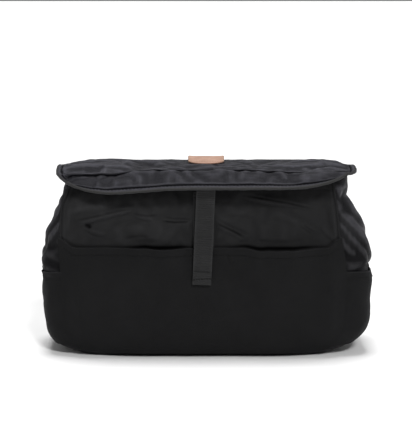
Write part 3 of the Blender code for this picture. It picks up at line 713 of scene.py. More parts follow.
def metal_look():
    look = Look("gunmetal")
    look.bump(look.noise(700.0, 3.0), 0.00003)
    tone = look.range(look.noise(160.0, 4.0), 0.35, 0.65, 0.0, 1.0)
    base = look.mix(tone, (0.17, 0.17, 0.18), (0.25, 0.25, 0.26))
    rubbed = look.range(look.noise(320.0, 5.0, 0.7), 0.62, 0.72, 0.0, 0.6)
    base = look.mix(rubbed, base, (0.46, 0.45, 0.43))
    rough = look.mottle(240.0, 3.0, 0.22, 0.38)
    return look.finish(base, rough, Metallic=1.0)


def simple_look(name, grain, tone, colours, rough, **fixed):
    """A mottled surface: grain is a noise and its depth, tone and rough are the numbers of two mottles."""
    look = Look(name)
    if grain:
        look.bump(look.noise(*grain[:-1]), grain[-1])
    return look.finish(look.mix(look.mottle(*tone), *colours), look.mottle(*rough), **fixed)


def thread_look(name, colours, gloss=0.4):
    return simple_look(name, (3000.0, 2.0, 0.00005), (400.0, 2.0), colours, (500.0, 2.0, 0.50, 0.65),
                       Specular_IOR_Level=gloss, Sheen_Weight=0.02)


FRONT_CLOTH = cotton("front_cotton", (0.0082, 0.0082, 0.0085), (0.0112, 0.0112, 0.0116),
                     (0.028, 0.028, 0.030), 0.60, sheen=0.03, gloss=0.12)
GUSSET_CLOTH = cotton("gusset_cotton", (0.0050, 0.0049, 0.0054), (0.0068, 0.0067, 0.0074),
                      (0.036, 0.035, 0.042), 0.48, sheen=0.02, gloss=0.15)
POCKET_CLOTH = cotton("pocket_cotton_dark", (0.0060, 0.0060, 0.0062), (0.0074, 0.0074, 0.0077),
                      (0.017, 0.017, 0.018), 0.70, sheen=0.02, gloss=0.08, crumple=0.00025)
FLAP_CLOTH_LOOK = cotton("flap_cotton", (0.0049, 0.0048, 0.0064), (0.0072, 0.0070, 0.0093),
                         (0.050, 0.049, 0.064), 0.44, sheen=0.025, gloss=0.15, crumple=0.0006)
BINDING = cotton("edge_binding_cotton", (0.0135, 0.0133, 0.0133), (0.0180, 0.0178, 0.0178),
                 (0.045, 0.044, 0.044), 0.52, sheen=0.05, gloss=0.22, crumple=0.0002)
WEBBING = webbing_look("ribbed_webbing", (0.0168, 0.0168, 0.0172), (0.0212, 0.0212, 0.0217),
                       (0.036, 0.036, 0.037))
STRAP_WEBBING = webbing_look("strap_webbing", (0.014, 0.0142, 0.0150), (0.019, 0.0192, 0.0200),
                             (0.034, 0.034, 0.036))
LINING = lining_look()
LEATHER = leather_look()
METAL = metal_look()
PLASTIC = simple_look("moulded_plastic", (1500.0, 2.0, 0.00005), (120.0, 3.0),
                      ((0.012, 0.012, 0.013), (0.020, 0.020, 0.021)), (300.0, 3.0, 0.34, 0.50),
                      Specular_IOR_Level=0.5)
BOARD = simple_look("base_board_fibre", (500.0, 5.0, 0.7, 0.0002), (220.0, 5.0, 0.0, 1.0, 0.7),
                    ((0.07, 0.07, 0.072), (0.12, 0.118, 0.115)), (90.0, 2.0, 0.72, 0.85))
FLOOR = simple_look("studio_floor", None, (6.0, 3.0), ((0.87, 0.87, 0.87), (0.89, 0.89, 0.89)),
                    (9.0, 2.0, 0.80, 0.90), Specular_IOR_Level=0.1)
THREAD = thread_look("black_thread", ((0.0032, 0.0032, 0.0034), (0.0050, 0.0050, 0.0052)), 0.1)
GREY_THREAD = thread_look("grey_thread", ((0.035, 0.036, 0.040), (0.055, 0.056, 0.060)))
TAN_THREAD = thread_look("tan_thread", ((0.42, 0.29, 0.19), (0.52, 0.38, 0.26)))
CLOTH_NOISE = Noise(11)
FLAP_NOISE = Noise(23)


# ---- walls ----
SIDES = {-1: (LEFT_SHIFT, LEFT_SEAM, LEFT_ROUND), 1: (RIGHT_SHIFT, RIGHT_SEAM, RIGHT_ROUND)}
RELIEF_TO_WEAR_AND_HIGHLIGHT = 0.0035       # folds this high are painted fully pale: rubbed wear and painted highlight
RIM_HEM = 0.013
RIM_HEM_STEP = 0.0004


def rim_hem(z):
    """The step of the hem that is folded in along the bag's mouth."""
    return RIM_HEM_STEP * smooth((z - RIM_Z + RIM_HEM) / 0.002)


def outline(z, side, back=False):
    """Half width, depth, seam x and roundness of one corner of the bag at heights z."""
    shift, seam, roundness = SIDES[side]
    wide = profile(HALF_WIDTH, z) + profile(shift, z)
    if back:
        return wide, profile(BACK_DEPTH, z), wide * profile(FLAT_SHARE, z), profile(BACK_ROUND, z)
    return wide, profile(FRONT_DEPTH, z), profile(seam, z), profile(roundness, z)


def wall_depth(x, z, back=False):
    """Distance of the front or back wall from the middle plane."""
    left = outline(z, -1, back)
    right = outline(z, 1, back)
    wide = np.where(x < 0, left[0], right[0])
    power = np.where(x < 0, left[3], right[3])
    share = np.clip(np.abs(x) / wide, 0, 0.9999)
    return left[1] * (1 - share**power) ** (1 / power)


def wall_x(u, z, back=False, more=0.0):
    """Places u from -1 to 1 between the two seams of the front or back wall."""
    left = outline(z, -1, back)[2] + more
    right = outline(z, 1, back)[2] + more
    return np.where(u < 0, u * left, u * right)


FRONT_FOLDS = [
    # path of (x, z), width, height, groove, groove side
    ([(-0.137, 0.143), (-0.110, 0.150), (-0.090, 0.155), (-0.070, 0.160)], 0.0034, 0.0026, 0.7, 1),
    ([(-0.146, 0.157), (-0.118, 0.161), (-0.096, 0.166)], 0.0045, 0.0016, 0.5, 1),
    ([(-0.078, 0.1525), (-0.066, 0.1495), (-0.055, 0.1480)], 0.0024, 0.0014, 0.9, 1),
    ([(-0.046, 0.1470), (-0.028, 0.1452), (-0.012, 0.1450)], 0.0022, 0.0012, 1.3, -1),
    ([(-0.128, 0.1400), (-0.117, 0.1335), (-0.104, 0.1305)], 0.0030, 0.0018, 0.8, 1),
    ([(-0.104, 0.1345), (-0.085, 0.1390), (-0.060, 0.1400)], 0.0050, 0.0014, 0.5, -1),
    ([(0.008, 0.1445), (0.024, 0.1360), (0.044, 0.1262)], 0.0030, 0.0022, 1.3, -1),
    ([(0.036, 0.1740), (0.062, 0.1675), (0.086, 0.1640), (0.116, 0.1570)], 0.0036, 0.0020, 1.2, 1),
    ([(0.060, 0.1560), (0.085, 0.1500), (0.100, 0.1420)], 0.0050, 0.0012, 0.4, 1),
    ([(0.098, 0.1440), (0.106, 0.1380), (0.114, 0.1320)], 0.0026, 0.0013, 0.7, 1),
    ([(0.118, 0.1420), (0.128, 0.1310), (0.138, 0.1220)], 0.0030, 0.0013, 0.7, 1),
    ([(0.126, 0.1690), (0.131, 0.1550), (0.133, 0.1400)], 0.0036, 0.0012, 0.5, -1),
    ([(-0.148, 0.1700), (-0.146, 0.1500), (-0.148, 0.1330)], 0.0036, 0.0012, 0.5, 1),
    ([(0.020, 0.1560), (0.042, 0.1540), (0.056, 0.1500)], 0.0034, 0.0010, 0.5, 1),
]
FRONT_CREASES = [
    # path of (x, z), width, darkness of the painted shade along the crease, also used for its groove's depth
    ([(0.008, 0.1440), (0.016, 0.1405), (0.030, 0.1335), (0.042, 0.1268)], 0.0010, 1.0),
    ([(0.036, 0.1720), (0.058, 0.1685), (0.085, 0.1640), (0.114, 0.1570)], 0.0011, 0.8),
    ([(-0.048, 0.1455), (-0.034, 0.1443), (-0.016, 0.1450)], 0.0009, 0.9),
    ([(-0.078, 0.1530), (-0.062, 0.1510), (-0.050, 0.1520)], 0.0010, 0.5),
    ([(-0.140, 0.1450), (-0.112, 0.1512), (-0.090, 0.1565), (-0.070, 0.1585)], 0.0012, 0.55),
    ([(-0.128, 0.1412), (-0.1235, 0.1400), (-0.121, 0.1370)], 0.0016, 1.0),
    ([(-0.088, 0.1275), (-0.070, 0.1300), (-0.058, 0.1280)], 0.0016, 0.4),
    ([(0.100, 0.1430), (0.107, 0.1370), (0.114, 0.1330)], 0.0009, 0.45),
]


def front_start(x, z):
    """The front panel's folds as they are first laid, before the cloth settles."""
    ripple = 0.0016 * CLOTH_NOISE(x, 0.0, z * 1.5, 0.052) + 0.0007 * CLOTH_NOISE(x, 3.1, z * 1.3, 0.021)
    ripple = ripple + 0.00025 * CLOTH_NOISE(x, 7.3, z * 1.2, 0.008)
    return with_folds(ripple, x, z, FRONT_FOLDS) * smooth((z - 0.108) / 0.012)


def front_sewn(x, z):
    return (z < 0.112) | (np.abs(x + 0.0035) < 0.0115) | (z > RIM_Z - 0.010) | (np.abs(x) > 0.146)


FRONT_BUCKLE = Buckled((-0.154, 0.104), (0.150, RIM_Z), front_start, front_sewn, 0.04, 3)


def front_relief(x, z):
    """How far the front panel's cloth stands out from its smooth form."""
    loose = smooth((z - 0.112) / 0.016)
    relief = with_folds(0.7 * FRONT_BUCKLE(x, z), x, z, FRONT_FOLDS, 0.45)
    for path, width, depth in FRONT_CREASES:
        relief = relief - 0.0007 * depth * fold(x, z, path, width, 1.0, 0.0)
    relief = relief - 0.0024 * hump(x + 0.1235, 0.0032) * hump(z - 0.1400, 0.0024)
    relief = relief - 0.0022 * hump(x + 0.063, 0.011) * hump(z - 0.1235, 0.0034)
    relief = relief - 0.0020 * hump(x - 0.075, 0.040) * hump(z - 0.1215, 0.0040)
    under_webbing = hump(x + 0.003, 0.0125) ** 2
    relief = relief * loose * (1 - np.minimum(under_webbing * 1.6, 1.0))
    return np.clip(relief, -0.0034, 0.0042)


def seam_fade(from_seam, reach=0.010):
    """0 at a seam, 1 where the cloth is free of it."""
    return smooth(from_seam / reach)


def seam_gap(x, z, back=False):
    """Distance along x to the nearer seam of the front or back wall."""
    return np.where(x < 0, outline(z, -1, back)[2] + x, outline(z, 1, back)[2] - x)


def front_surface(u, z):
    x = wall_x(u, z)
    from_seam = seam_gap(x, z)
    points = np.stack([x, -wall_depth(x, z), z], -1)
    normals = grid_normals(points, (0, -1, 0))
    relief = front_relief(x, z) * seam_fade(from_seam)
    relief = relief + 0.0005 * hump(from_seam - 0.0036, 0.0016) * smooth((z - 0.115) / 0.01)
    relief = relief + rim_hem(z)
    return points + normals * relief[..., None], normals, relief


def make_front():
    levels = np.concatenate([np.linspace(0, 0.106, 26)[:-1], np.linspace(0.106, RIM_Z, 90)])
    u, z = np.meshgrid(np.linspace(-1, 1, 261), levels)
    points, normals, relief = front_surface(u, z)
    x = wall_x(u, z)
    # Pale on folds for rubbed wear and painted highlight on ridges, painted shade in grooves.
    wear_and_painted_light = np.clip(relief / 0.004, 0, 1) * 0.35 + 0.14 * cavity(relief)
    # Painted shadow on the panel just above the pocket's hem, darkest where the pocket's mouth gapes.
    mouths = np.exp(-((x + 0.050) / 0.030) ** 4) + np.exp(-((x - 0.072) / 0.042) ** 4)
    above_hem = z - hem_height(x, u)
    wear_and_painted_light = wear_and_painted_light - (0.35 + 0.9 * mouths) * hump(above_hem - 0.0006, 0.0012 + 0.0008 * mouths)
    # Painted shade along each crease.
    for path, width, depth in FRONT_CREASES:
        wear_and_painted_light = wear_and_painted_light - 0.80 * depth * fold(x, z, path, 1.25 * width, 1.0, 0.0)
    # Painted shade across the top of the panel, under the flap's lip.
    wear_and_painted_light = np.clip(wear_and_painted_light - 0.45 * smooth((z - 0.163) / 0.010), -1, 1)
    cloth = sheet("front_cloth", points, points - normals * FABRIC, FRONT_CLOTH, wear_and_painted_light=wear_and_painted_light)
    attach(cloth, "bag", "waxed_cotton", "front_panel")
    around_stitch = RIM_Z - 0.0125 + np.array([-0.001, 0.0, 0.001])
    u, z = np.meshgrid(np.linspace(-0.985, 0.985, 150), around_stitch)
    path, outward, _ = front_surface(u, z)
    attach(stitches("front_rim_stitches", path[1] + outward[1] * THREAD_LIFT, outward[1], THREAD), "bag")


BACK_FOLDS = [
    # path of (x, z), width, height
    ([(-0.10, 0.150), (-0.05, 0.142), (0.0, 0.146)], 0.006, 0.0016),
    ([(0.02, 0.165), (0.07, 0.150), (0.10, 0.128)], 0.005, 0.0016),
    ([(-0.12, 0.095), (-0.06, 0.080), (0.03, 0.084)], 0.008, 0.0014),
    ([(0.00, 0.055), (0.07, 0.046), (0.13, 0.060)], 0.007, 0.0014),
    ([(-0.13, 0.045), (-0.07, 0.030), (-0.02, 0.034)], 0.006, 0.0012),
    ([(0.10, 0.105), (0.125, 0.085), (0.135, 0.060)], 0.005, 0.0012),
]


def back_relief(x, z):
    """How far the back panel's cloth stands out; it lies flat behind the strap's tabs."""
    relief = 0.0013 * CLOTH_NOISE(x, 9.0, z * 1.4, 0.060) + 0.0005 * CLOTH_NOISE(x, 12.0, z, 0.020)
    relief = with_folds(relief, x, z, BACK_FOLDS)
    for side in (-1, 1):
        tab = hump(x - side * RING_X, 0.021) ** 2 * smooth((z - 0.095) / 0.02)
        relief = relief * (1 - np.minimum(1.5 * tab, 1.0))
    return np.clip(relief * smooth(z / 0.02), -0.0022, 0.0020)


def back_surface(u, z):
    x = wall_x(u, z, True)
    points = np.stack([x, wall_depth(x, z, True), z], -1)
    normals = grid_normals(points, (0, 1, 0))
    relief = back_relief(x, z) * seam_fade(seam_gap(x, z, True)) + rim_hem(z)
    return points + normals * relief[..., None], normals, relief


def make_back():
    u, z = np.meshgrid(np.linspace(-1, 1, 201), np.linspace(0, RIM_Z, 100))
    points, normals, relief = back_surface(u, z)
    # Pale on folds for rubbed wear and painted highlight on ridges.
    wear_and_painted_light = np.clip(relief / 0.003, 0, 1) * 0.4
    cloth = sheet("back_cloth", points, points - normals * FABRIC, FRONT_CLOTH, wear_and_painted_light=wear_and_painted_light)
    attach(cloth, "bag", "waxed_cotton", "back_panel")


GUSSET_SCALE = 0.058
RIGHT_GUSSET_FOLDS = [
    # path of (turn, z), width, height, groove, groove side
    ([(-0.97, 0.168), (-0.78, 0.150), (-0.52, 0.126), (-0.20, 0.100), (0.10, 0.086)], 0.0048, 0.0042, 0.8, 1),
    ([(-0.98, 0.152), (-0.80, 0.134), (-0.62, 0.112), (-0.42, 0.095)], 0.0038, 0.0030, 0.9, 1),
    ([(-0.60, 0.168), (-0.34, 0.140), (-0.05, 0.118)], 0.0055, 0.0034, 0.7, 1),
    ([(-0.20, 0.172), (0.05, 0.150), (0.30, 0.120)], 0.0055, 0.0030, 0.6, 1),
    ([(0.35, 0.172), (0.55, 0.150), (0.72, 0.118)], 0.0048, 0.0028, 0.6, -1),
    ([(-0.97, 0.134), (-0.86, 0.118), (-0.74, 0.104)], 0.0030, 0.0020, 0.9, 1),
    ([(-0.86, 0.184), (-0.80, 0.176), (-0.72, 0.170)], 0.0050, 0.0042, 0.5, 1),
    ([(-0.90, 0.080), (-0.72, 0.062), (-0.60, 0.040)], 0.0045, 0.0018, 0.6, -1),
    ([(0.30, 0.060), (0.55, 0.040), (0.70, 0.022)], 0.0050, 0.0018, 0.6, -1),
]
LEFT_GUSSET_FOLDS = [
    ([(-0.96, 0.170), (-0.74, 0.148), (-0.46, 0.124), (-0.16, 0.100)], 0.0048, 0.0038, 0.8, 1),
    ([(-0.97, 0.150), (-0.82, 0.134), (-0.66, 0.116)], 0.0036, 0.0026, 0.9, 1),
    ([(-0.50, 0.168), (-0.22, 0.142), (0.05, 0.116)], 0.0055, 0.0032, 0.7, 1),
    ([(0.05, 0.170), (0.28, 0.142), (0.48, 0.112)], 0.0052, 0.0030, 0.6, 1),
    ([(0.50, 0.168), (0.66, 0.146), (0.80, 0.120)], 0.0045, 0.0024, 0.6, -1),
    ([(-0.88, 0.086), (-0.70, 0.066), (-0.58, 0.042)], 0.0045, 0.0016, 0.6, -1),
    ([(0.20, 0.062), (0.46, 0.044), (0.66, 0.024)], 0.0050, 0.0016, 0.6, -1),
]


def gusset_start(side):
    """The folds of a side wall as they are first laid, at (turn * GUSSET_SCALE, z)."""
    given = LEFT_GUSSET_FOLDS if side < 0 else RIGHT_GUSSET_FOLDS
    folds = [([(turn * GUSSET_SCALE, up) for turn, up in path], *rest) for path, *rest in given]

    def start(y, z):
        ripple = (0.0012 * CLOTH_NOISE(y, 20.0 + side, z * 1.1, 0.040)
                  + 0.0006 * CLOTH_NOISE(y, 25.0 + side, z, 0.016))
        return with_folds(ripple, y, z, folds, 0.8)

    return start


def gusset_sewn(y, z):
    return (np.abs(y) > GUSSET_SCALE - 0.004) | (z > RIM_Z - 0.008) | (z < 0.02)


GUSSET_BUCKLES = {side: Buckled((-GUSSET_SCALE, 0.004), (GUSSET_SCALE, RIM_Z), gusset_start(side),
                                gusset_sewn, 0.04, 8 + side) for side in (-1, 1)}


def gusset_plan(turn, z, side):
    """Places (x, y) on a side wall; turn runs from -1 at the front seam to 1 at the back seam."""
    wide, front, seam, power = outline(z, side)
    _, rear, back_seam, back_power = outline(z, side, True)
    is_back = turn > 0
    corner = np.where(is_back, back_seam, seam)
    power = np.where(is_back, back_power, power)
    depth = np.where(is_back, rear, front)
    reach = (1 - (corner / wide) ** power) ** (1 / power)
    y_share = reach * np.sin(np.abs(turn) * math.pi / 2) ** 0.8
    x = side * wide * (1 - y_share**power) ** (1 / power)
    return np.stack([x, np.copysign(depth * y_share, turn)], -1)


def gusset_surface(turn, z, side, extra=0.0):
    """A side wall's cloth, pushed out by extra."""
    points = np.concatenate([gusset_plan(turn, z, side), z[..., None]], axis=-1)
    normals = grid_normals(points, (side, 0, 0))
    above_pocket = smooth((z - SIDE_HEM_Z + 0.03) / 0.03)
    relief = GUSSET_BUCKLES[side](turn * GUSSET_SCALE, z) * (0.35 + 0.65 * above_pocket)
    from_seam = (1 - np.abs(turn)) * GUSSET_SCALE
    relief = np.clip(relief, -0.0036, 0.0040) * seam_fade(from_seam, 0.008) * smooth(z / 0.02)
    relief = relief + rim_hem(z)
    return points + normals * (relief + extra)[..., None], normals, relief


def make_gusset(side, word):
    turn, z = np.meshgrid(np.linspace(-1, 1, 121), np.linspace(0, RIM_Z, 120))
    points, normals, relief = gusset_surface(turn, z, side)
    # Pale on folds for rubbed wear and painted highlight on ridges, painted shade in grooves.
    wear_and_painted_light = np.clip(relief / RELIEF_TO_WEAR_AND_HIGHLIGHT, 0, 1) * 0.45 + 0.55 * cavity(relief)
    # Painted shade in the groove beside the front seam.
    wear_and_painted_light = wear_and_painted_light - hump(turn + 0.955, 0.016) * smooth((z - 0.116) / 0.006) * smooth((0.152 - z) / 0.01)
    # The side wall is painted darker and duller towards the bottom, below about 0.136 m.
    wear_and_painted_light = wear_and_painted_light - 0.40 * smooth((0.136 - z) / 0.024)
    wear_and_painted_light = np.clip(wear_and_painted_light, -1, 1)
    cloth = sheet("gusset_cloth_" + word, points, points - normals * FABRIC, GUSSET_CLOTH, wear_and_painted_light=wear_and_painted_light)
    attach(cloth, "bag", "waxed_cotton", "gusset_" + word)
    make_side_pocket(side, word)
    make_welts(side, word)


def make_side_pocket(side, word):
    hem_low = SIDE_HEM_Z - 0.010
    levels = np.concatenate([np.linspace(0.012, hem_low, 40)[:-1], np.linspace(hem_low, SIDE_HEM_Z, 14)])
    span = 0.985
    turn, z = np.meshgrid(np.linspace(-span, span, 110), levels)
    droop = z - 0.002 * (1 - (turn / span) ** 2) * smooth((z - 0.03) / 0.06)
    hem = smooth((z - SIDE_HEM_Z + 0.0085) / 0.0010)
    open_up = 0.0010 * smooth((z - 0.055) / 0.037) * (1 - (np.abs(turn) / span) ** 4)
    extra = FABRIC + 0.0003 + 0.0004 * hem + open_up
    points, normals, _ = gusset_surface(turn, droop, side, extra)
    wear_and_painted_light = smooth((z - SIDE_HEM_Z + 0.0015) / 0.0015) * 0.6
    inner = points - normals * (FABRIC * 0.85)
    cloth = sheet("side_pocket_cloth_" + word, points, inner, POCKET_CLOTH, wear_and_painted_light=wear_and_painted_light)
    attach(cloth, "bag", "pocket_cotton", "side_pocket_" + word)
    row = len(levels) - 11
    path = points[row] + normals[row] * THREAD_LIFT
    attach(stitches("side_pocket_stitches_" + word, path, normals[row], THREAD), "bag")


def make_welts(side, word):
    """The seams between the side walls and the front and back, each turned over a thin cord."""
    z = np.linspace(0.004, RIM_Z - 0.003, 60)
    for name, back, radius, fast, slow in (("front_welt_", False, 0.00100, 1.7, 0.41),
                                           ("back_welt_", True, 0.00115, 1.9, 0.37)):
        seam = outline(z, side, back)[2]
        y = wall_depth(side * seam, z, back) + 0.0001
        path = np.stack([side * (seam + 0.0002), y if back else -y, z], -1)
        welt = tube(name + word, path, radius, FRONT_CLOTH, 12, 0.0016,
                    ripple=lambda i: 1 + 0.10 * math.sin(i * fast) * math.sin(i * slow))
        attach(welt, "bag")


def wall_ring(z, inset, count=240):
    """The whole outline at a height, as points in order round the bag."""
    per = count // 4
    level = np.full(per, float(z))
    front_x = wall_x(np.linspace(-1, 1, per, endpoint=False), level)
    back_x = wall_x(np.linspace(1, -1, per, endpoint=False), level, True)
    rows = [np.stack([front_x, -wall_depth(front_x, level)], -1)]
    for start in (-1, 0):
        turn = np.linspace(start, start + 1, per // 2, endpoint=False)
        rows.append(gusset_plan(turn, level[:per // 2], 1))
    rows.append(np.stack([back_x, wall_depth(back_x, level, True)], -1))
    rows.append(gusset_plan(np.linspace(1, -1, per, endpoint=False), level, -1))
    ring = np.concatenate(rows)
    inward = -unit(np.stack([np.gradient(ring[:, 1]), -np.gradient(ring[:, 0])], -1))
    flat = ring + inward * inset
    return np.concatenate([flat, np.full((len(flat), 1), float(z))], axis=1)


def scaled_rings(z, inset, scales):
    """The outline at a height, shrunk to several sizes, as the rows of a floor."""
    return [wall_ring(z, inset) * [scale, scale, 0] for scale in scales]


def make_lining():
    """One thin cloth over the board and up the walls, with room left for the walls' folds."""
    floor = 0.0048
    rings = scaled_rings(0.012, 0.006, (0.04, 0.2, 0.4, 0.6, 0.8, 0.93))
    rows = [ring + [0, 0, floor + 0.0016] for ring in rings]
    for z in np.linspace(floor + 0.003, RIM_Z - 0.0015, 70):
        low_room = 0.003 * math.exp(-((z - floor) / 0.006) ** 2)
        fold_room = 0.0030 * float(smooth((RIM_Z - 0.004 - z) / 0.016))
        rows.append(wall_ring(max(z, 0.006), 0.0030 + low_room + fold_room) * [1, 1, 0] + [0, 0, z])
    grid = np.array(rows)
    inward = -unit(grid * [1, 2.6, 0])
    x, y, z = (grid[..., k] for k in range(3))
    crumple = np.maximum(CLOTH_NOISE(x, y + 40, z * 0.6, 0.035) + 0.25, 0) * 0.0035
    crumple = crumple * smooth((z - 0.012) / 0.03) * smooth((RIM_Z - 0.012 - z) / 0.03)
    grid = grid + inward * crumple[..., None]
    floor_lift = 0.0012 * CLOTH_NOISE(grid[:7, :, 0], grid[:7, :, 1], 60.0, 0.04)
    grid[:7, :, 2] += np.maximum(floor_lift, -0.0004)
    outward = unit(grid * [1, 2.6, 0] + [0, 0, -0.02])
    normals = grid_normals(grid, outward, closed=True)
    cloth = sheet("lining_cloth", grid, grid - normals * 0.0007, LINING, closed=True)
    attach(cloth, "bag", "lining_cloth", "lining")


def make_bottom():
    grid = np.array(scaled_rings(0.0, 0.0016, (0.03, 0.2, 0.4, 0.6, 0.8, 0.92, 0.98, 1.0)))
    crumple = np.maximum(CLOTH_NOISE(grid[..., 0], grid[..., 1], 80.0, 0.03), 0) * 0.0004
    grid[..., 2] = 0.00005 + crumple
    cloth = sheet("bottom_cloth", grid, grid + [0, 0, 0.0016], POCKET_CLOTH, closed=True)
    attach(cloth, "bag", "pocket_cotton", "bottom_panel")


def make_board():
    """A stiff sheet under the lining, cut to the bag's floor."""
    grid = np.array(scaled_rings(0.006, BOARD_INSET, (0.03, 0.4, 0.8, 0.97, 0.995, 1.0)))
    rounded = np.array([0.0, 0.0, 0.0, 0.0, 0.0001, 0.0005])[:, None]
    top = grid + [0, 0, 0.0045]
    top[..., 2] -= rounded
    low = grid + [0, 0, 0.0021]
    low[..., 2] += rounded
    attach(sheet("base_board_fibre", top, low, BOARD, closed=True), "bag", "base_board", "base_board")


# ---- front pocket ----
MOUTH_DIPS = [
    # x, width, depth
    (-0.052, 0.026, -0.0016), (0.075, 0.036, -0.0020), (-0.064, 0.009, 0.0012),
    (0.056, 0.007, -0.0010), (0.040, 0.008, 0.0009), (0.090, 0.007, -0.0008),
]


def hem_height(x, u):
    """Height of the pocket's mouth: it rises into the seams and dips where it gapes."""
    rise = 0.0095 * smooth((np.abs(u) - 0.885) / 0.115)
    wave = 0.0006 * CLOTH_NOISE(x, 50.0, 0.0, 0.020)
    dips = sum(depth * hump(x - middle, width) for middle, width, depth in MOUTH_DIPS)
    return POCKET_HEM_Z + rise + wave + dips


POCKET_FOLDS = [
    # path of (x, z), width, height
    ([(0.134, 0.112), (0.142, 0.102), (0.150, 0.094)], 0.0030, 0.0014),
    ([(0.136, 0.094), (0.146, 0.088), (0.152, 0.078)], 0.0030, 0.0012),
    ([(0.124, 0.074), (0.134, 0.072), (0.146, 0.080)], 0.0026, 0.0010),
    ([(0.024, 0.112), (0.026, 0.105), (0.032, 0.099)], 0.0028, 0.0010),
    ([(-0.150, 0.118), (-0.146, 0.104), (-0.148, 0.090)], 0.0034, 0.0012),
    ([(-0.154, 0.060), (-0.146, 0.044), (-0.136, 0.034)], 0.0045, 0.0010),
    ([(0.148, 0.052), (0.140, 0.038), (0.126, 0.030)], 0.0045, 0.0010),
]
POCKET_SPREAD = 0.0028        # how far the pocket is sewn past the front panel's seams


def pocket_surface(u, share):
    """The pocket's cloth at places u across and share up, standing off the front panel."""
    z = POCKET_LOW_Z + (POCKET_HEM_Z - POCKET_LOW_Z) * share
    x = wall_x(u, z, more=POCKET_SPREAD)
    top = hem_height(x, u)
    z = POCKET_LOW_Z + (top - POCKET_LOW_Z) * share
    x = wall_x(u, z, more=POCKET_SPREAD)
    edge = smooth((1 - np.abs(u)) / 0.13)
    belly = 0.0062 * smooth((z - 0.004) / 0.050) * (1 - 0.78 * smooth((z - 0.080) / 0.038))
    belly = belly + 0.0040 * (1 - smooth((z - 0.004) / 0.030)) * smooth((0.125 - np.abs(x)) / 0.060)
    mouth = 0.0062 * np.exp(-((x + 0.050) / 0.027) ** 4) + 0.0082 * np.exp(-((x - 0.072) / 0.038) ** 4)
    mouth = mouth * (1 + 0.35 * CLOTH_NOISE(x, 61.0, 0.0, 0.016)) * smooth((z - 0.078) / 0.040)
    lip = 0.0012 * smooth((z - 0.095) / 0.020)
    stand = FABRIC + 0.0007 + (belly + mouth + lip) * edge
    ripple = 0.0007 * CLOTH_NOISE(x, 55.0, z, 0.050) + 0.0002 * CLOTH_NOISE(x, 58.0, z, 0.018)
    ripple = with_folds(ripple, x, z, POCKET_FOLDS)
    y = -wall_depth(x, z) - stand - ripple * edge
    hem = smooth((z - top + 0.0085) / 0.0008)
    y = y - 0.00045 * hem + 0.0005 * smooth((share - 0.992) / 0.008)
    return np.stack([x, y, z], -1), hem


def make_pocket():
    share = np.concatenate([np.linspace(0, 0.86, 44)[:-1], np.linspace(0.86, 1.0, 26)])
    u, share = np.meshgrid(np.linspace(-1, 1, 241), share)
    points, hem = pocket_surface(u, share)
    normals = grid_normals(points, (0, -1, 0))
    wear_and_painted_light = smooth((share - 0.986) / 0.014) * 0.5
    inner = points + np.array([0, 1, 0]) * (FABRIC * (0.75 + 0.25 * hem))[..., None]
    cloth = sheet("pocket_cloth", points, inner, POCKET_CLOTH, wear_and_painted_light=wear_and_painted_light)
    attach(cloth, "bag", "pocket_cotton", "front_pocket", "pocket_hem")
    row = int(np.argmin(np.abs(share[:, 0] - 0.934)))
    along, outward = points[row, 4:-4], normals[row, 4:-4]
    attach(stitches("pocket_hem_stitches", along + outward * THREAD_LIFT, outward, THREAD), "bag")


# ---- flap ----
def flap_reach(y, x):
    """Half width of the flap's plan at y, on the side that x is on."""
    front = y < FLAP_CENTRE_Y
    power = np.where(front, FLAP_ROUND, FLAP_REAR_ROUND)
    share = np.abs(y - FLAP_CENTRE_Y) / np.where(front, FLAP_HALF_DEPTH, FLAP_REAR_DEPTH)
    return np.where(x < 0, FLAP_LEFT, FLAP_RIGHT) * (1 - share**power) ** (1 / power)


def front_outline(count=400):
    """The flap's front edge in plan, from its left end round to its right end, evenly spaced."""
    angle = np.linspace(0, math.pi, 4000)
    x = -np.sign(np.cos(angle)) * np.abs(np.cos(angle)) ** (2 / FLAP_ROUND)
    x = x * np.where(x < 0, FLAP_LEFT, FLAP_RIGHT)
    y = FLAP_CENTRE_Y - FLAP_HALF_DEPTH * np.sin(angle) ** (2 / FLAP_ROUND)
    keep = y <= CREASE_Y
    x, y = x[keep], y[keep]
    lengths = distances(np.stack([x, y], -1))
    at = np.linspace(0, lengths[-1], count)
    return np.interp(at, lengths, x), np.interp(at, lengths, y)


OUTLINE_X, OUTLINE_Y = front_outline()


def on_outline(share):
    at = np.clip(share, 0, 1) * (len(OUTLINE_X) - 1)
    steps = np.arange(len(OUTLINE_X))
    return np.interp(at, steps, OUTLINE_X), np.interp(at, steps, OUTLINE_Y)


def top_height(x, y):
    """The flap's top behind the crease, before its folds."""
    base = CREASE_Z + FLAP_RISE * (y - CREASE_Y)
    reach = flap_reach(y, x)
    share = np.clip(np.abs(x) / reach, 0, 1)
    edge_z = profile(LIP_EDGE, np.where(x < 0, -reach, reach))
    near_front = smooth((-0.012 - y) / 0.034)
    drop = (edge_z - base) * near_front * share**7
    sag = -0.0034 * hump(np.abs(x) - 0.105, 0.042) * smooth((0.000 - y) / 0.050)
    rear = 0.0010 * smooth((y + 0.01) / 0.05) - 0.0012 * smooth((y - 0.050) / 0.006)
    outer = smooth((np.abs(x) - 0.118) / 0.034)
    tips_lift = 0.0012 * smooth((y + 0.040) / 0.026)
    tips_drop = 0.0034 * smooth((y + 0.020) / 0.046)
    return base + drop + sag + rear + outer * (tips_lift - tips_drop)


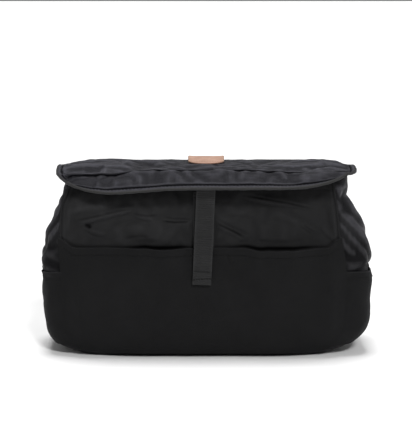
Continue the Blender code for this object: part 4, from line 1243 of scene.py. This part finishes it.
TOP_FOLDS = [
    # path of (x, y), width, height, groove, groove side
    ([(-0.152, -0.030), (-0.128, -0.020), (-0.098, -0.022), (-0.070, -0.034)], 0.0070, 0.0034, 0.7, 1),
    ([(-0.146, -0.010), (-0.120, 0.010), (-0.092, 0.014)], 0.0075, 0.0032, 0.6, 1),
    ([(-0.130, 0.030), (-0.105, 0.034), (-0.078, 0.022)], 0.0060, 0.0026, 0.7, 1),
    ([(-0.112, -0.040), (-0.092, -0.012), (-0.070, 0.020)], 0.0055, 0.0026, 0.8, -1),
    ([(-0.070, 0.040), (-0.056, 0.020), (-0.050, -0.006)], 0.0065, 0.0018, 0.5, 1),
    ([(0.154, -0.022), (0.126, -0.014), (0.094, -0.022), (0.068, -0.036)], 0.0070, 0.0030, 0.7, -1),
    ([(0.150, 0.002), (0.120, 0.016), (0.086, 0.014)], 0.0075, 0.0028, 0.6, -1),
    ([(0.140, -0.036), (0.118, -0.036), (0.098, -0.044)], 0.0045, 0.0022, 0.8, -1),
    ([(0.128, 0.034), (0.098, 0.038), (0.066, 0.026)], 0.0065, 0.0020, 0.6, 1),
    ([(0.036, 0.036), (0.052, 0.006), (0.058, -0.024)], 0.0065, 0.0016, 0.5, 1),
    ([(-0.040, -0.030), (0.000, -0.022), (0.040, -0.030)], 0.0080, 0.0014, 0.4, 1),
]
LIP_FOLDS = [
    ([(-0.148, -0.052), (-0.134, -0.058), (-0.112, -0.062)], 0.0040, 0.0018, 0.7, 1),
    ([(-0.082, -0.056), (-0.070, -0.066), (-0.066, -0.072)], 0.0040, 0.0010, 0.6, 1),
    ([(-0.028, -0.054), (-0.018, -0.062), (-0.016, -0.072)], 0.0045, 0.0010, 0.5, 1),
    ([(0.068, -0.052), (0.078, -0.060), (0.084, -0.068)], 0.0034, 0.0016, 1.0, 1),
    ([(0.092, -0.070), (0.112, -0.066), (0.138, -0.056)], 0.0042, 0.0022, 0.8, 1),
    ([(0.104, -0.056), (0.126, -0.053), (0.146, -0.050)], 0.0034, 0.0014, 0.8, -1),
    ([(0.020, -0.056), (0.034, -0.064), (0.040, -0.073)], 0.0045, 0.0010, 0.5, 1),
]


def crease_line(x):
    """Where the crease runs: nearly straight, as cloth creases."""
    return CREASE_Y + 0.0016 * FLAP_NOISE(x, 2.0, 0.0, 0.045) + 0.0006 * FLAP_NOISE(x, 5.0, 0.0, 0.016)


def flap_start(x, y):
    """The flap's folds as they are first laid."""
    relief = 0.0017 * FLAP_NOISE(x, y * 0.9, 1.0, 0.036) + 0.0006 * FLAP_NOISE(x, y, 5.0, 0.013)
    relief = relief + 0.0002 * FLAP_NOISE(x, y, 9.0, 0.005)
    return with_folds(relief, x, y, TOP_FOLDS + LIP_FOLDS)


def flap_sewn(x, y):
    held = (y > 0.046) | (y < -0.072)
    held = held | (np.abs(y - crease_line(x)) < 0.0020)
    return held | ((np.abs(x + 0.0015) < 0.024) & (y > 0.004))


FLAP_BUCKLE = Buckled((-0.158, -0.078), (0.158, FLAP_BACK_Y), flap_start, flap_sewn, 0.03, 5)


def flap_relief(x, y):
    """How far the flap's cloth stands out; it is flat under the tag and pressed along the crease."""
    tag = smooth((0.030 - np.abs(x + 0.0015)) / 0.008) * smooth((y - 0.002) / 0.008)
    relief = FLAP_BUCKLE(x, y) * (1 - tag)
    relief = relief * smooth((0.0545 - y) / 0.012) * (1 - 0.45 * smooth((y - 0.005) / 0.030))
    gap = y - crease_line(x)
    relief = relief * (1 - 0.6 * hump(gap, 0.004)) - 0.0010 * hump(gap + 0.0040, 0.0022)
    relief = relief + 0.0006 * hump(gap + 0.0095, 0.0028) + 0.0009 * hump(gap - 0.0006, 0.0024)
    return relief


def patch(low, high, left, right, a, t):
    """A surface between four edge lines (a Coons patch): a runs from left to right and t from low to high."""
    low_corners = (1 - a) * low[:, :1] + a * low[:, -1:]
    high_corners = (1 - a) * high[:, :1] + a * high[:, -1:]
    return (1 - t) * low + t * high + (1 - a) * left + a * right - ((1 - t) * low_corners + t * high_corners)


LIP_SIDE = 0.045              # share of the lip's outline that makes up each of its short sides


def flap_grid():
    """The whole flap as one surface; rows run from the back edge to the crease and on to the lip's edge."""
    s = np.linspace(-1, 1, 281)
    top_rows = np.concatenate([np.linspace(FLAP_BACK_Y - 0.001, -0.034, 44)[:-1],
                               np.linspace(-0.034, CREASE_Y, 19)])
    s_top, y_top = np.meshgrid(s, top_rows)
    x_top = s_top * flap_reach(y_top, s_top)
    s_lip, t = np.meshgrid(s, np.linspace(0, 1, 34)[1:])
    a = (s_lip + 1) / 2
    crease_x = s_lip * flap_reach(CREASE_Y, s_lip)
    crease_y = np.full_like(crease_x, CREASE_Y)
    edge_x, edge_y = on_outline(LIP_SIDE + (1 - 2 * LIP_SIDE) * a)
    left_x, left_y = on_outline(LIP_SIDE * t)
    right_x, right_y = on_outline(1 - LIP_SIDE * t)
    edge_z, left_z, right_z = (profile(LIP_EDGE, x) for x in (edge_x, left_x, right_x))
    bulge = np.sin(math.pi * t**0.85) * (1 - np.abs(s_lip) ** 8)
    x_lip = patch(crease_x, edge_x, left_x, right_x, a, t)
    y_lip = patch(crease_y, edge_y, left_y, right_y, a, t) - 0.0014 * bulge
    z_lip = patch(top_height(crease_x, crease_y), edge_z, left_z, right_z, a, t) + 0.0034 * bulge
    points = np.stack([np.concatenate([x_top, x_lip]), np.concatenate([y_top, y_lip]),
                       np.concatenate([top_height(x_top, y_top), z_lip])], -1)
    to_edge = np.concatenate([(1 - np.abs(s_top)) * flap_reach(y_top, s_top),
                              np.minimum((1 - t) * 0.030, (1 - np.abs(s_lip)) * 0.158 + (1 - t) * 0.002)])
    return points, to_edge, len(top_rows)


REAR_ROW = 6                  # the row where the flap's top ends and its turned-down back edge begins


def flap_wear_and_painted_light(x, y, relief, to_edge):
    """Rubbed wear and painted highlight on ridges, a rubbed edge, painted shade along the crease with a
    painted highlight just behind it, and a painted shadow line beside the binding.
    """
    gap = y - crease_line(x)
    held = smooth((0.150 - np.abs(x)) / 0.010)
    # Painted shade in a line just in front of the crease.
    line = hump(gap + 0.0052 + 0.0014 * FLAP_NOISE(x, 8.0, 0.0, 0.022), 0.0030)
    # Rubbed wear and painted highlight on ridges, painted shade in grooves.
    wear_and_painted_light = np.clip(relief / RELIEF_TO_WEAR_AND_HIGHLIGHT, 0, 1) * 0.25 + 0.55 * cavity(relief)
    wear_and_painted_light = wear_and_painted_light + 0.25 * hump(to_edge, 0.0022)
    # It darkens that line, and paints a highlight on the top just behind the crease.
    wear_and_painted_light = wear_and_painted_light - 1.25 * line * held + 0.45 * hump(gap - 0.0040, 0.0060) * held
    # A painted shadow line beside the binding.
    return np.clip(wear_and_painted_light - 0.9 * hump(to_edge - 0.0044, 0.0008), -1, 1)


def make_flap():
    base, to_edge, crease_row = flap_grid()
    x, y = base[..., 0], base[..., 1]
    relief = np.clip(flap_relief(x, y), -0.0024, 0.0045) * (0.30 + 0.70 * smooth(to_edge / 0.009))
    relief = relief - 0.0012 * hump(to_edge - 0.0042, 0.0008) + 0.0006 * hump(to_edge - 0.0018, 0.0016)
    points = base + grid_normals(base, (0, 0, 1)) * relief[..., None]
    inner = points - grid_normals(points, (0, 0, 1)) * (FLAP_CLOTH * 0.85)
    wear_and_painted_light = flap_wear_and_painted_light(x, y, relief, to_edge)
    flat = flat_positions(points)
    lip_row = int(np.argmin(np.abs(y[:crease_row, 140] + 0.040)))
    parts = (("flap_top_cloth", slice(REAR_ROW, lip_row + 1)), ("flap_lip_cloth", slice(lip_row, len(x))))
    top, lip = (sheet(name, points[rows], inner[rows], FLAP_CLOTH_LOOK, wear_and_painted_light=wear_and_painted_light[rows], flat=flat[rows])
                for name, rows in parts)
    attach(top, "flap", "waxed_cotton", "flap_top")
    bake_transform(lip)
    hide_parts("flap_lip")
    make_flap_back(points[:REAR_ROW + 1])
    make_flap_binding(points, inner, lip_row)


def make_flap_back(points):
    """The flap's back edge, which turns down and is sewn to the top of the back panel."""
    x = points[0, :, 0]
    columns = len(x)
    rows = [(wall_depth(x, np.full(columns, z), True) + 0.0006 + FABRIC, z)
            for z in (0.1800, 0.1830, 0.1860, 0.1890)]
    rows += [(np.full(columns, y), z) for y, z in ((0.0552, 0.1915), (0.0563, 0.1935), (0.0560, 0.1950))]
    path = [np.stack([x, y, np.full(columns, z)], -1) for y, z in rows]
    path = np.array(path + [points[row] for row in (0, 1, 2, 4, REAR_ROW)])
    down = [resample(path[:, column], 0.0011) for column in range(columns)]
    count = min(len(column) for column in down)
    grid = np.stack([per_point(column, count) for column in down], axis=1)
    grid[-1] = points[-1]
    ripple = 0.0004 * FLAP_NOISE(grid[..., 0], 30.0, grid[..., 2], 0.012)
    outward = unit((grid - [0, 0.045, 0.180]) * [0, 1, 1])
    steps = np.arange(count)
    fade = smooth(steps / 4) * smooth((count - 1 - steps) / 4)
    normals = grid_normals(grid, outward)
    grid = grid + normals * (ripple * fade[:, None])[..., None]
    cloth = sheet("flap_back_cloth", grid, grid - normals * 0.0013, FLAP_CLOTH_LOOK)
    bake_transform(cloth)
    lines = []
    for number, row in enumerate((3, 9)):
        along, outward = grid[row, 6:-6], normals[row, 6:-6]
        name = "flap_back_stitches_" + str(number + 1)
        lines.append(stitches(name, along + outward * THREAD_LIFT, outward, THREAD))
    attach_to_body(lines[0], "bag")
    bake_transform(lines[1])


def make_flap_binding(points, inner, lip_row):
    """A bias tape folded round the flap's edge, in three lengths."""
    middle = points * 0.45 + inner * 0.55

    def tape(name, path):
        tangent = unit(np.gradient(path, axis=0))
        out = unit(np.cross(tangent, [0.0, 0.0, 1.0]))
        away = np.sign((out * (path - [0.0, FLAP_CENTRE_Y, 0.19])).sum(-1))[:, None]
        piece = tube("flap_binding_tape_" + name, path + out * away * 0.0006, 0.00155, BINDING, 14, 0.0018,
                     ripple=lambda i: 1 + 0.07 * math.sin(i * 0.9) + 0.05 * math.sin(i * 0.37 + 1.0))
        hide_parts("flap_binding_" + name)
        return piece

    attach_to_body(tape("left", middle[1:lip_row + 1, 0]), "flap")
    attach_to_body(tape("right", middle[1:lip_row + 1, -1]), "flap")
    around = np.concatenate([middle[lip_row:-1, 0], middle[-1], middle[lip_row:-1, -1][::-1]])
    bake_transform(tape("front", around))
    inset = 5
    path = np.concatenate([points[lip_row:-4, inset], points[-4, inset:-inset],
                           points[lip_row:-4, -inset - 1][::-1]])
    line = stitches("flap_edge_stitches", path + [0, 0, THREAD_LIFT], (0, -0.4, 0.9), THREAD, length=0.0028)
    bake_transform(line)


def make_tag():
    """A small leather tag, sewn on at its corners, that turns over the flap's back edge."""
    half = 0.0200
    middle_x = -0.0009
    inset = 0.0022
    s, share = np.meshgrid(np.linspace(-1, 1, 61), np.linspace(0, 1, 60))
    front_y = 0.0010 + 0.0140 * np.abs(s) ** 2.2
    grid_y = front_y + (0.0555 - front_y) * share
    x = middle_x + s * half * (1 - 0.03 * (1 - share))
    z = top_height(x, grid_y) + 0.0004 + 0.0022 * smooth((grid_y - 0.022) / 0.028)
    z = z + 0.0004 * hump(1 - np.abs(s), 0.22) + 0.0003 * hump(grid_y - front_y, 0.003)
    lower = np.stack([x, grid_y, z], -1)
    edge = np.minimum((1 - np.abs(s)) * half, grid_y - front_y)
    thick = 0.0013 * (0.55 + 0.45 * smooth(edge / 0.0010))
    thick = thick - 0.00022 * hump(edge - inset, 0.0004)
    upper = lower + np.array([0, 0, 1]) * thick[..., None]
    wear_and_painted_light = 0.85 * hump(edge, 0.0006) + 0.25 * hump(edge - inset, 0.0005)
    attach(sheet("tag_leather", upper, lower, LEATHER, wear_and_painted_light=wear_and_painted_light), "flap", "tan_leather", "leather_tag")
    row = int(np.argmin(np.abs(edge[:, 30] - inset)))
    column = int(np.argmin(np.abs(edge[30] - inset)))
    lifted = upper + [0, 0, THREAD_LIFT]
    path = np.concatenate([lifted[row:-3, column][::-1], lifted[row, column + 1:-column - 1],
                           lifted[row:-3, -column - 1]])
    line = stitches("tag_stitches", path, (0, 0, 1), TAN_THREAD, length=0.0020, gap=0.0009, radius=0.00026)
    attach(line, "flap")


# ---- closure ----
CLOSURE_X = -0.0008
CLOSURE_TOP_Z = 0.183
CLOSURE_END_Z = 0.0805
CLOSURE_LEAN = 0.0048 / 0.106  # how far the strap leans to one side for each metre down
CLOSURE_LINE = [(0.077, -0.0700), (0.100, -0.0698), (0.120, -0.0690), (0.135, -0.0660),
                (0.150, -0.0640), (0.165, -0.0646), (CLOSURE_TOP_Z, -0.0680)]
CLOSURE_RIBS = {"pitch": 0.0023, "rib": 0.00050}
ANCHOR_X = -0.0035


def closure_point(z, forward=0.0):
    """The middle of the closure strap at a height, or a place in front of it."""
    return CLOSURE_X - CLOSURE_LEAN * (CLOSURE_TOP_Z - z), profile(CLOSURE_LINE, z) - forward, z


def make_closure():
    under_lip = [(CLOSURE_X, -0.0560, 0.19150), (CLOSURE_X, -0.0610, 0.18880), (CLOSURE_X, -0.0655, 0.18600)]
    path = under_lip + [closure_point(z) for z in np.linspace(CLOSURE_TOP_Z, CLOSURE_END_Z, 60)]
    across = (1, 0, 0.045)
    strap = ribbed_strip("closure_webbing", path, across, 0.0195, 0.0014, WEBBING, **CLOSURE_RIBS)
    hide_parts("closure_strap")
    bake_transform(strap)
    path = [closure_point(z, 0.00135) for z in np.linspace(CLOSURE_END_Z, 0.0935, 12)]
    hem = ribbed_strip("closure_hem", path, across, 0.0193, 0.0012, WEBBING, **CLOSURE_RIBS)
    attach(hem, "closure", "webbing")
    middle = np.array(closure_point(CLOSURE_END_Z + 0.0062, 0.00195))
    half = np.array([0.0082, 0, 0.0004])
    line = stitches("closure_hem_stitches", np.linspace(middle - half, middle + half, 8), (0, -1, 0), THREAD,
                    length=0.0019, radius=0.00045)
    attach(line, "closure")


def make_anchor():
    z = np.linspace(0.1000, 0.1755, 40)
    x = np.full_like(z, ANCHOR_X)
    path = np.stack([x, -wall_depth(x, z) - 0.0010, z], -1)
    strap = ribbed_strip("anchor_webbing_layer", path, (1, 0, 0), 0.0218, 0.0013, WEBBING, rib=0.00026)
    attach(strap, "bag", "webbing", "anchor_webbing")
    for number, at in enumerate((0.1700, 0.1735)):
        level = np.full(8, at)
        x = ANCHOR_X + np.linspace(-0.0093, 0.0093, 8)
        path = np.stack([x, -wall_depth(x, level) - 0.0017, level], -1)
        name = "anchor_stitches_" + str(number + 1)
        attach(stitches(name, path, (0, -1, 0), THREAD, radius=0.00035), "bag")


SNAP_RINGS = [
    # radius, share of the depth: a rim, a dished face and a boss in the middle
    (0.0068, 0.0), (0.0070, 0.15), (0.0070, 0.55), (0.0067, 0.80), (0.0062, 0.95), (0.0056, 1.0),
    (0.0046, 0.86), (0.0030, 0.84), (0.0024, 0.95), (0.0012, 1.0),
]


def snap_half(name, node, body, facing):
    """Half of the magnetic snap, turned about Y; facing is 1 towards the back and -1 towards the front."""
    sides = 40
    low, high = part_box(node)
    depth = high.y - low.y
    start = low.y if facing > 0 else high.y
    middle = (low + high) / 2
    points = []
    for radius, share in SNAP_RINGS:
        for a in (2 * math.pi * k / sides for k in range(sides)):
            points.append((middle.x + radius * math.cos(a), start + facing * share * depth,
                           middle.z + radius * math.sin(a)))
    faces = ring_faces(len(SNAP_RINGS), sides)
    if facing > 0:
        faces = [face[::-1] for face in faces]
    attach(new_object(name, np.array(points), faces, METAL, 35), body, "dark_metal", node)


def make_snaps():
    snap_half("snap_socket_disc", "snap_socket", "bag", -1)
    snap_half("snap_stud_disc", "snap_stud", "closure", 1)


# ---- shoulder strap and its metal ----
GAP = 0.0003                  # between a webbing loop and the wire inside it
STRAP_CLOTH = 0.0012
STRAP_WIDTH = 0.030
RING_WIRE = 0.0015
FRAME_WIRE = 0.0014
HOOK_WIRE = 0.0013
GATE_WIRE = 0.0009
HOOK_RADIUS = 0.0065
HOOK_Z = RING_Z - 0.017 - (HOOK_RADIUS - HOOK_WIRE - RING_WIRE - GAP)
HOOK_OPEN = math.radians(51)  # from the middle of the hook's mouth to each end of its wire
GATE_SPREAD = math.radians(40)
BARREL = [
    # radius, height
    (0.0012, -0.0070), (0.0024, -0.0068), (0.0028, -0.0060), (0.0028, -0.0052), (0.0020, -0.0048),
    (0.0020, -0.0040), (0.0030, -0.0036), (0.0033, -0.0026), (0.0030, -0.0012), (0.0022, -0.0004),
    (0.0014, 0.0006),
]
BAR_Z = 0.1115                # the swivel frame's lower bar
FRAME_TOP = HOOK_Z - HOOK_RADIUS - 0.0092
FRAME_CORNERS = [(-0.0185, BAR_Z), (0.0185, BAR_Z), (0.0185, FRAME_TOP - 0.004), (0.0060, FRAME_TOP),
                 (-0.0060, FRAME_TOP), (-0.0185, FRAME_TOP - 0.004)]
SADDLE_STITCH = {"length": 0.0021, "gap": 0.0008, "radius": 0.00030}
STRAP_LAYER = {"thickness": STRAP_CLOTH, "look": STRAP_WEBBING, "pitch": 0.0022, "columns": 11}
STRAP_Y = 0.0800
STRAP_LOW_Z = 0.0038
STRAP_LIFT = 0.0018           # from the strap's main layer to its return layer
STRAP_ROUTE = [
    # x, y, z, quarter turns
    (-0.1325, 0.0635, 0.1000, 0.0), (-0.1390, 0.0670, 0.0850, 0.18),
    (-0.1470, 0.0745, 0.0620, 0.62), (-0.1510, 0.0792, 0.0400, 0.95),
    (-0.1460, STRAP_Y, 0.0200, 1.0), (-0.1300, STRAP_Y, 0.0080, 1.0),
    (-0.1080, STRAP_Y, 0.0042, 1.0), (-0.0800, STRAP_Y, STRAP_LOW_Z, 1.0),
]


def make_tab(side, word):
    """A tab of webbing that comes down the back, goes round the D-ring's bar and is sewn in a crossed box."""
    middle = RING_WIRE + GAP + STRAP_CLOTH / 2
    x = side * RING_X
    path = [(x, RING_Y - middle, z) for z in np.linspace(0.183, RING_Z, 5)[:-1]]
    for angle in np.linspace(math.pi, math.pi + math.radians(282), 13):
        path.append((x, RING_Y + middle * math.cos(angle), RING_Z + middle * math.sin(angle)))
    tab = ribbed_strip("tab_webbing_" + word, path, (1, 0, 0), 0.0238, STRAP_CLOTH, STRAP_WEBBING)
    attach(tab, "bag", "webbing", "strap_tab_" + word)
    surface = RING_Y - middle + 0.0007
    low_left, low_right, high_right, high_left = ((x + dx, surface, z) for dx, z in (
        (-0.0095, 0.1665), (0.0095, 0.1665), (0.0095, 0.1805), (-0.0095, 0.1805)))
    lines = ((low_left, low_right), (low_right, high_right), (high_right, high_left), (high_left, low_left),
             (low_left, high_right), (high_left, low_right))
    for number, (start, end) in enumerate(lines):
        name = "tab_stitches_" + word + "_" + str(number + 1)
        attach(stitches(name, np.linspace(start, end, 8), (0, 1, 0), GREY_THREAD, **SADDLE_STITCH), "bag")


def hook_radius(share):
    """The hook's wire is thicker in its middle than at its ends."""
    return HOOK_WIRE * (0.82 + 0.26 * math.sin(math.pi * share))


def make_hardware(side, word):
    """A D-ring, and hanging from it a swivel hook with its gate, and the frame that holds the strap."""
    x = side * RING_X
    ring = [(x + dx, RING_Y, RING_Z) for dx in np.linspace(-0.0150, 0.0150, 7)]
    for angle in np.linspace(0, -math.pi, 21)[1:-1]:
        ring.append((x + 0.0155 * math.cos(angle), RING_Y, RING_Z - 0.001 + 0.016 * math.sin(angle)))
    piece = tube("d_ring_wire_" + word, ring, RING_WIRE, METAL, 20, 0.0008, closed=True)
    attach(piece, "carry_strap", "dark_metal", "d_ring_" + word)
    loop = [(x, RING_Y + HOOK_RADIUS * math.cos(a), HOOK_Z + HOOK_RADIUS * math.sin(a))
            for a in np.linspace(HOOK_OPEN, 2 * math.pi - HOOK_OPEN, 25)]
    piece = tube("hook_loop_" + word, loop, hook_radius, METAL, 20, 0.0006)
    attach(piece, "carry_strap", "dark_metal", "swivel_hook_" + word)
    piece = turned("hook_barrel_" + word, BARREL, (x, RING_Y, HOOK_Z - HOOK_RADIUS), METAL)
    attach(piece, "carry_strap", "dark_metal")
    make_gate(word, x)
    path = []
    for (x0, z0), (x1, z1) in zip(FRAME_CORNERS, FRAME_CORNERS[1:] + FRAME_CORNERS[:1]):
        path += [(x + x0 + (x1 - x0) * t, RING_Y, z0 + (z1 - z0) * t) for t in (0.08, 0.5, 0.92)]
    piece = tube("swivel_frame_" + word, path, FRAME_WIRE, METAL, 18, 0.0008, closed=True)
    attach(piece, "carry_strap", "dark_metal", "swivel_base_" + word)


def make_gate(word, x):
    """The spring gate across the hook's mouth, with a small thumb piece."""
    y = RING_Y + HOOK_RADIUS * math.cos(GATE_SPREAD)
    rise = HOOK_RADIUS * math.sin(GATE_SPREAD)
    path = [(x, y + 0.0003 * math.sin(math.pi * t), HOOK_Z + (2 * t - 1) * rise)
            for t in np.linspace(0, 1, 9)]
    gate = tube("gate_wire_" + word, path, GATE_WIRE, METAL, 16, 0.0004)
    attach(gate, "gate_" + word, "dark_metal", "hook_gate_" + word)
    grip_z = HOOK_Z - 0.10 * rise
    path = [(x + dx, y + dy, grip_z) for dx, dy in ((-0.0013, 0.0009), (0, 0.0010), (0.0013, 0.0009))]
    attach(tube("gate_thumb_" + word, path, 0.0007, METAL, 14, 0.0003), "gate_" + word, "dark_metal")


def strap_frames(start, end, count):
    """Middle points and cross directions of the strap, from the left hook at 0 to the right one at 15."""
    full = STRAP_ROUTE + [(-x, y, z, twist) for x, y, z, twist in reversed(STRAP_ROUTE)]
    stops = np.linspace(start, end, count)
    columns = [profile([(i, stop[k]) for i, stop in enumerate(full)], stops) for k in range(4)]
    twist = columns[3] * math.pi / 2
    twist = np.where(stops > len(STRAP_ROUTE) - 0.5, math.pi - twist, twist)
    wide = np.stack([np.cos(twist), np.sin(twist), np.zeros(count)], -1)
    return np.stack(columns[:3], -1), wide


def evenly(path, wide, count):
    """The strap's middle points and cross directions again, at even distances."""
    lengths = distances(path)
    at = np.linspace(0, lengths[-1], count)
    return (np.stack([np.interp(at, lengths, rows[:, k]) for k in range(3)], -1) for rows in (path, wide))


def make_strap():
    path, wide = evenly(*strap_frames(0.0, 2 * len(STRAP_ROUTE) - 1, 120), 160)
    strap = ribbed_strip("shoulder_webbing", path, wide, STRAP_WIDTH, **STRAP_LAYER)
    attach(strap, "carry_strap", "webbing", "shoulder_strap")
    path, wide = strap_frames(0.35, 7.36, 90)
    along = unit(np.gradient(path, axis=0))
    lifted = path + np.cross(along, square_to(wide, along)) * STRAP_LIFT
    path, wide = evenly(lifted, wide, 100)
    layer = ribbed_strip("shoulder_webbing_return", path, wide, STRAP_WIDTH - 0.0006, **STRAP_LAYER)
    attach(layer, "carry_strap", "webbing", "strap_return_layer")


def make_strap_end(side, word):
    """The strap's end, folded round the swivel frame's lower bar and sewn with two rows."""
    middle = FRAME_WIRE + GAP + STRAP_CLOTH / 2
    x = side * RING_X
    path = [(x, RING_Y - middle, 0.1003), (x, RING_Y - middle, 0.1060)]
    for angle in np.linspace(math.pi, 0, 9):
        path.append((x, RING_Y + middle * math.cos(angle), BAR_Z + middle * math.sin(angle)))
    path += [(x, RING_Y + middle, 0.1060), (x, RING_Y + middle, 0.1003)]
    piece = ribbed_strip("strap_fold_" + word, path, (1, 0, 0), STRAP_WIDTH, STRAP_CLOTH, STRAP_WEBBING,
                         columns=11)
    attach(piece, "carry_strap", "webbing", "strap_end_" + word)
    y = RING_Y + middle + STRAP_CLOTH / 2
    for number, z in enumerate((0.1025, 0.1045)):
        name = "strap_fold_stitches_" + word + "_" + str(number + 1)
        line = np.linspace((x - 0.0125, y, z), (x + 0.0125, y, z), 8)
        attach(stitches(name, line, (0, 1, 0), GREY_THREAD, **SADDLE_STITCH), "carry_strap")


def finish_slider():
    """The slider is the CAD model's own piece: it gets a finer edge and a real surface."""
    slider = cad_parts["strap_slider"]
    slider.data.materials.clear()
    slider.data.materials.append(PLASTIC)
    bevel = slider.modifiers.new("soft_edges", "BEVEL")
    bevel.width = 0.0006
    bevel.segments = 3
    bevel.limit_method = "ANGLE"
    bevel.angle_limit = math.radians(40)


# ---- studio ----
HORIZON_LIGHT = 0.26
SKY_LIGHT = 0.32
FLOOR_HALF = 30.0
CAMERA_LENS = 122.8
CAMERA_DISTANCE = 1.6
CAMERA_ELEVATION = math.radians(9.0)
CAMERA_AIM = (-0.0010, 0.0, 0.1408)


def make_floor():
    mesh = bpy.data.meshes.new("studio_floor")
    corners = [(x * FLOOR_HALF, y * FLOOR_HALF, 0) for x, y in ((-1, -1), (1, -1), (1, 1), (-1, 1))]
    mesh.from_pydata(corners, [], [(0, 1, 2, 3)])
    mesh.materials.append(FLOOR)
    made = placed("studio_floor", mesh)
    made.location = (0, 0, -0.0002)


def shade_world(tree):
    """Soft studio surroundings, a little brighter overhead than near the horizon."""
    place = tree.nodes.new("ShaderNodeTexCoord")
    split = tree.nodes.new("ShaderNodeSeparateXYZ")
    tree.links.new(place.outputs["Generated"], split.inputs[0])
    ramp = tree.nodes.new("ShaderNodeMapRange")
    ramp.interpolation_type = "SMOOTHSTEP"
    for socket, value in zip(ramp.inputs[1:5], (0.04, 0.30, HORIZON_LIGHT, SKY_LIGHT)):
        socket.default_value = value
    tree.links.new(split.outputs[2], ramp.inputs[0])
    tree.links.new(ramp.outputs[0], tree.nodes["Background"].inputs[1])
    tree.nodes["Background"].inputs[0].default_value = (1.0, 1.0, 1.0, 1.0)


def sun_light(name, direction, strength, angle):
    data = bpy.data.lights.new(name, "SUN")
    data.energy = strength
    data.angle = math.radians(angle)
    made = placed(name, data)
    made.location = (0, 0, 2)
    made.rotation_mode = "QUATERNION"
    made.rotation_quaternion = Vector(direction).to_track_quat("-Z", "Y")


def make_camera(scene):
    camera = bpy.data.cameras.new("camera")
    camera.lens = CAMERA_LENS
    camera.sensor_width = 36.0
    camera.clip_start = 0.05
    camera.clip_end = 80.0
    made = placed("camera", camera)
    made.location = (CAMERA_AIM[0], -CAMERA_DISTANCE * math.cos(CAMERA_ELEVATION),
                     CAMERA_AIM[2] + CAMERA_DISTANCE * math.sin(CAMERA_ELEVATION))
    made.rotation_euler = (math.pi / 2 - CAMERA_ELEVATION, 0.0, 0.0)
    scene.camera = made


def make_studio():
    scene = bpy.context.scene
    scene.world = bpy.data.worlds.new("studio_world")
    scene.world.use_nodes = True
    shade_world(scene.world.node_tree)
    make_floor()
    sun_light("top_light", (0.02, -0.045, -1.0), 2.5, 22.0)
    sun_light("front_light", (-0.26, 0.80, -0.68), 1.70, 10.0)
    scene.view_settings.view_transform = "Standard"
    scene.view_settings.look = "None"
    make_camera(scene)


def main():
    make_studio()
    make_front()
    make_back()
    make_gusset(-1, "left")
    make_gusset(1, "right")
    make_lining()
    make_bottom()
    make_board()
    make_pocket()
    make_flap()
    make_tag()
    make_closure()
    make_anchor()
    make_snaps()
    for side, word in ((-1, "left"), (1, "right")):
        make_tab(side, word)
        make_hardware(side, word)
        make_strap_end(side, word)
    make_strap()
    finish_slider()


main()
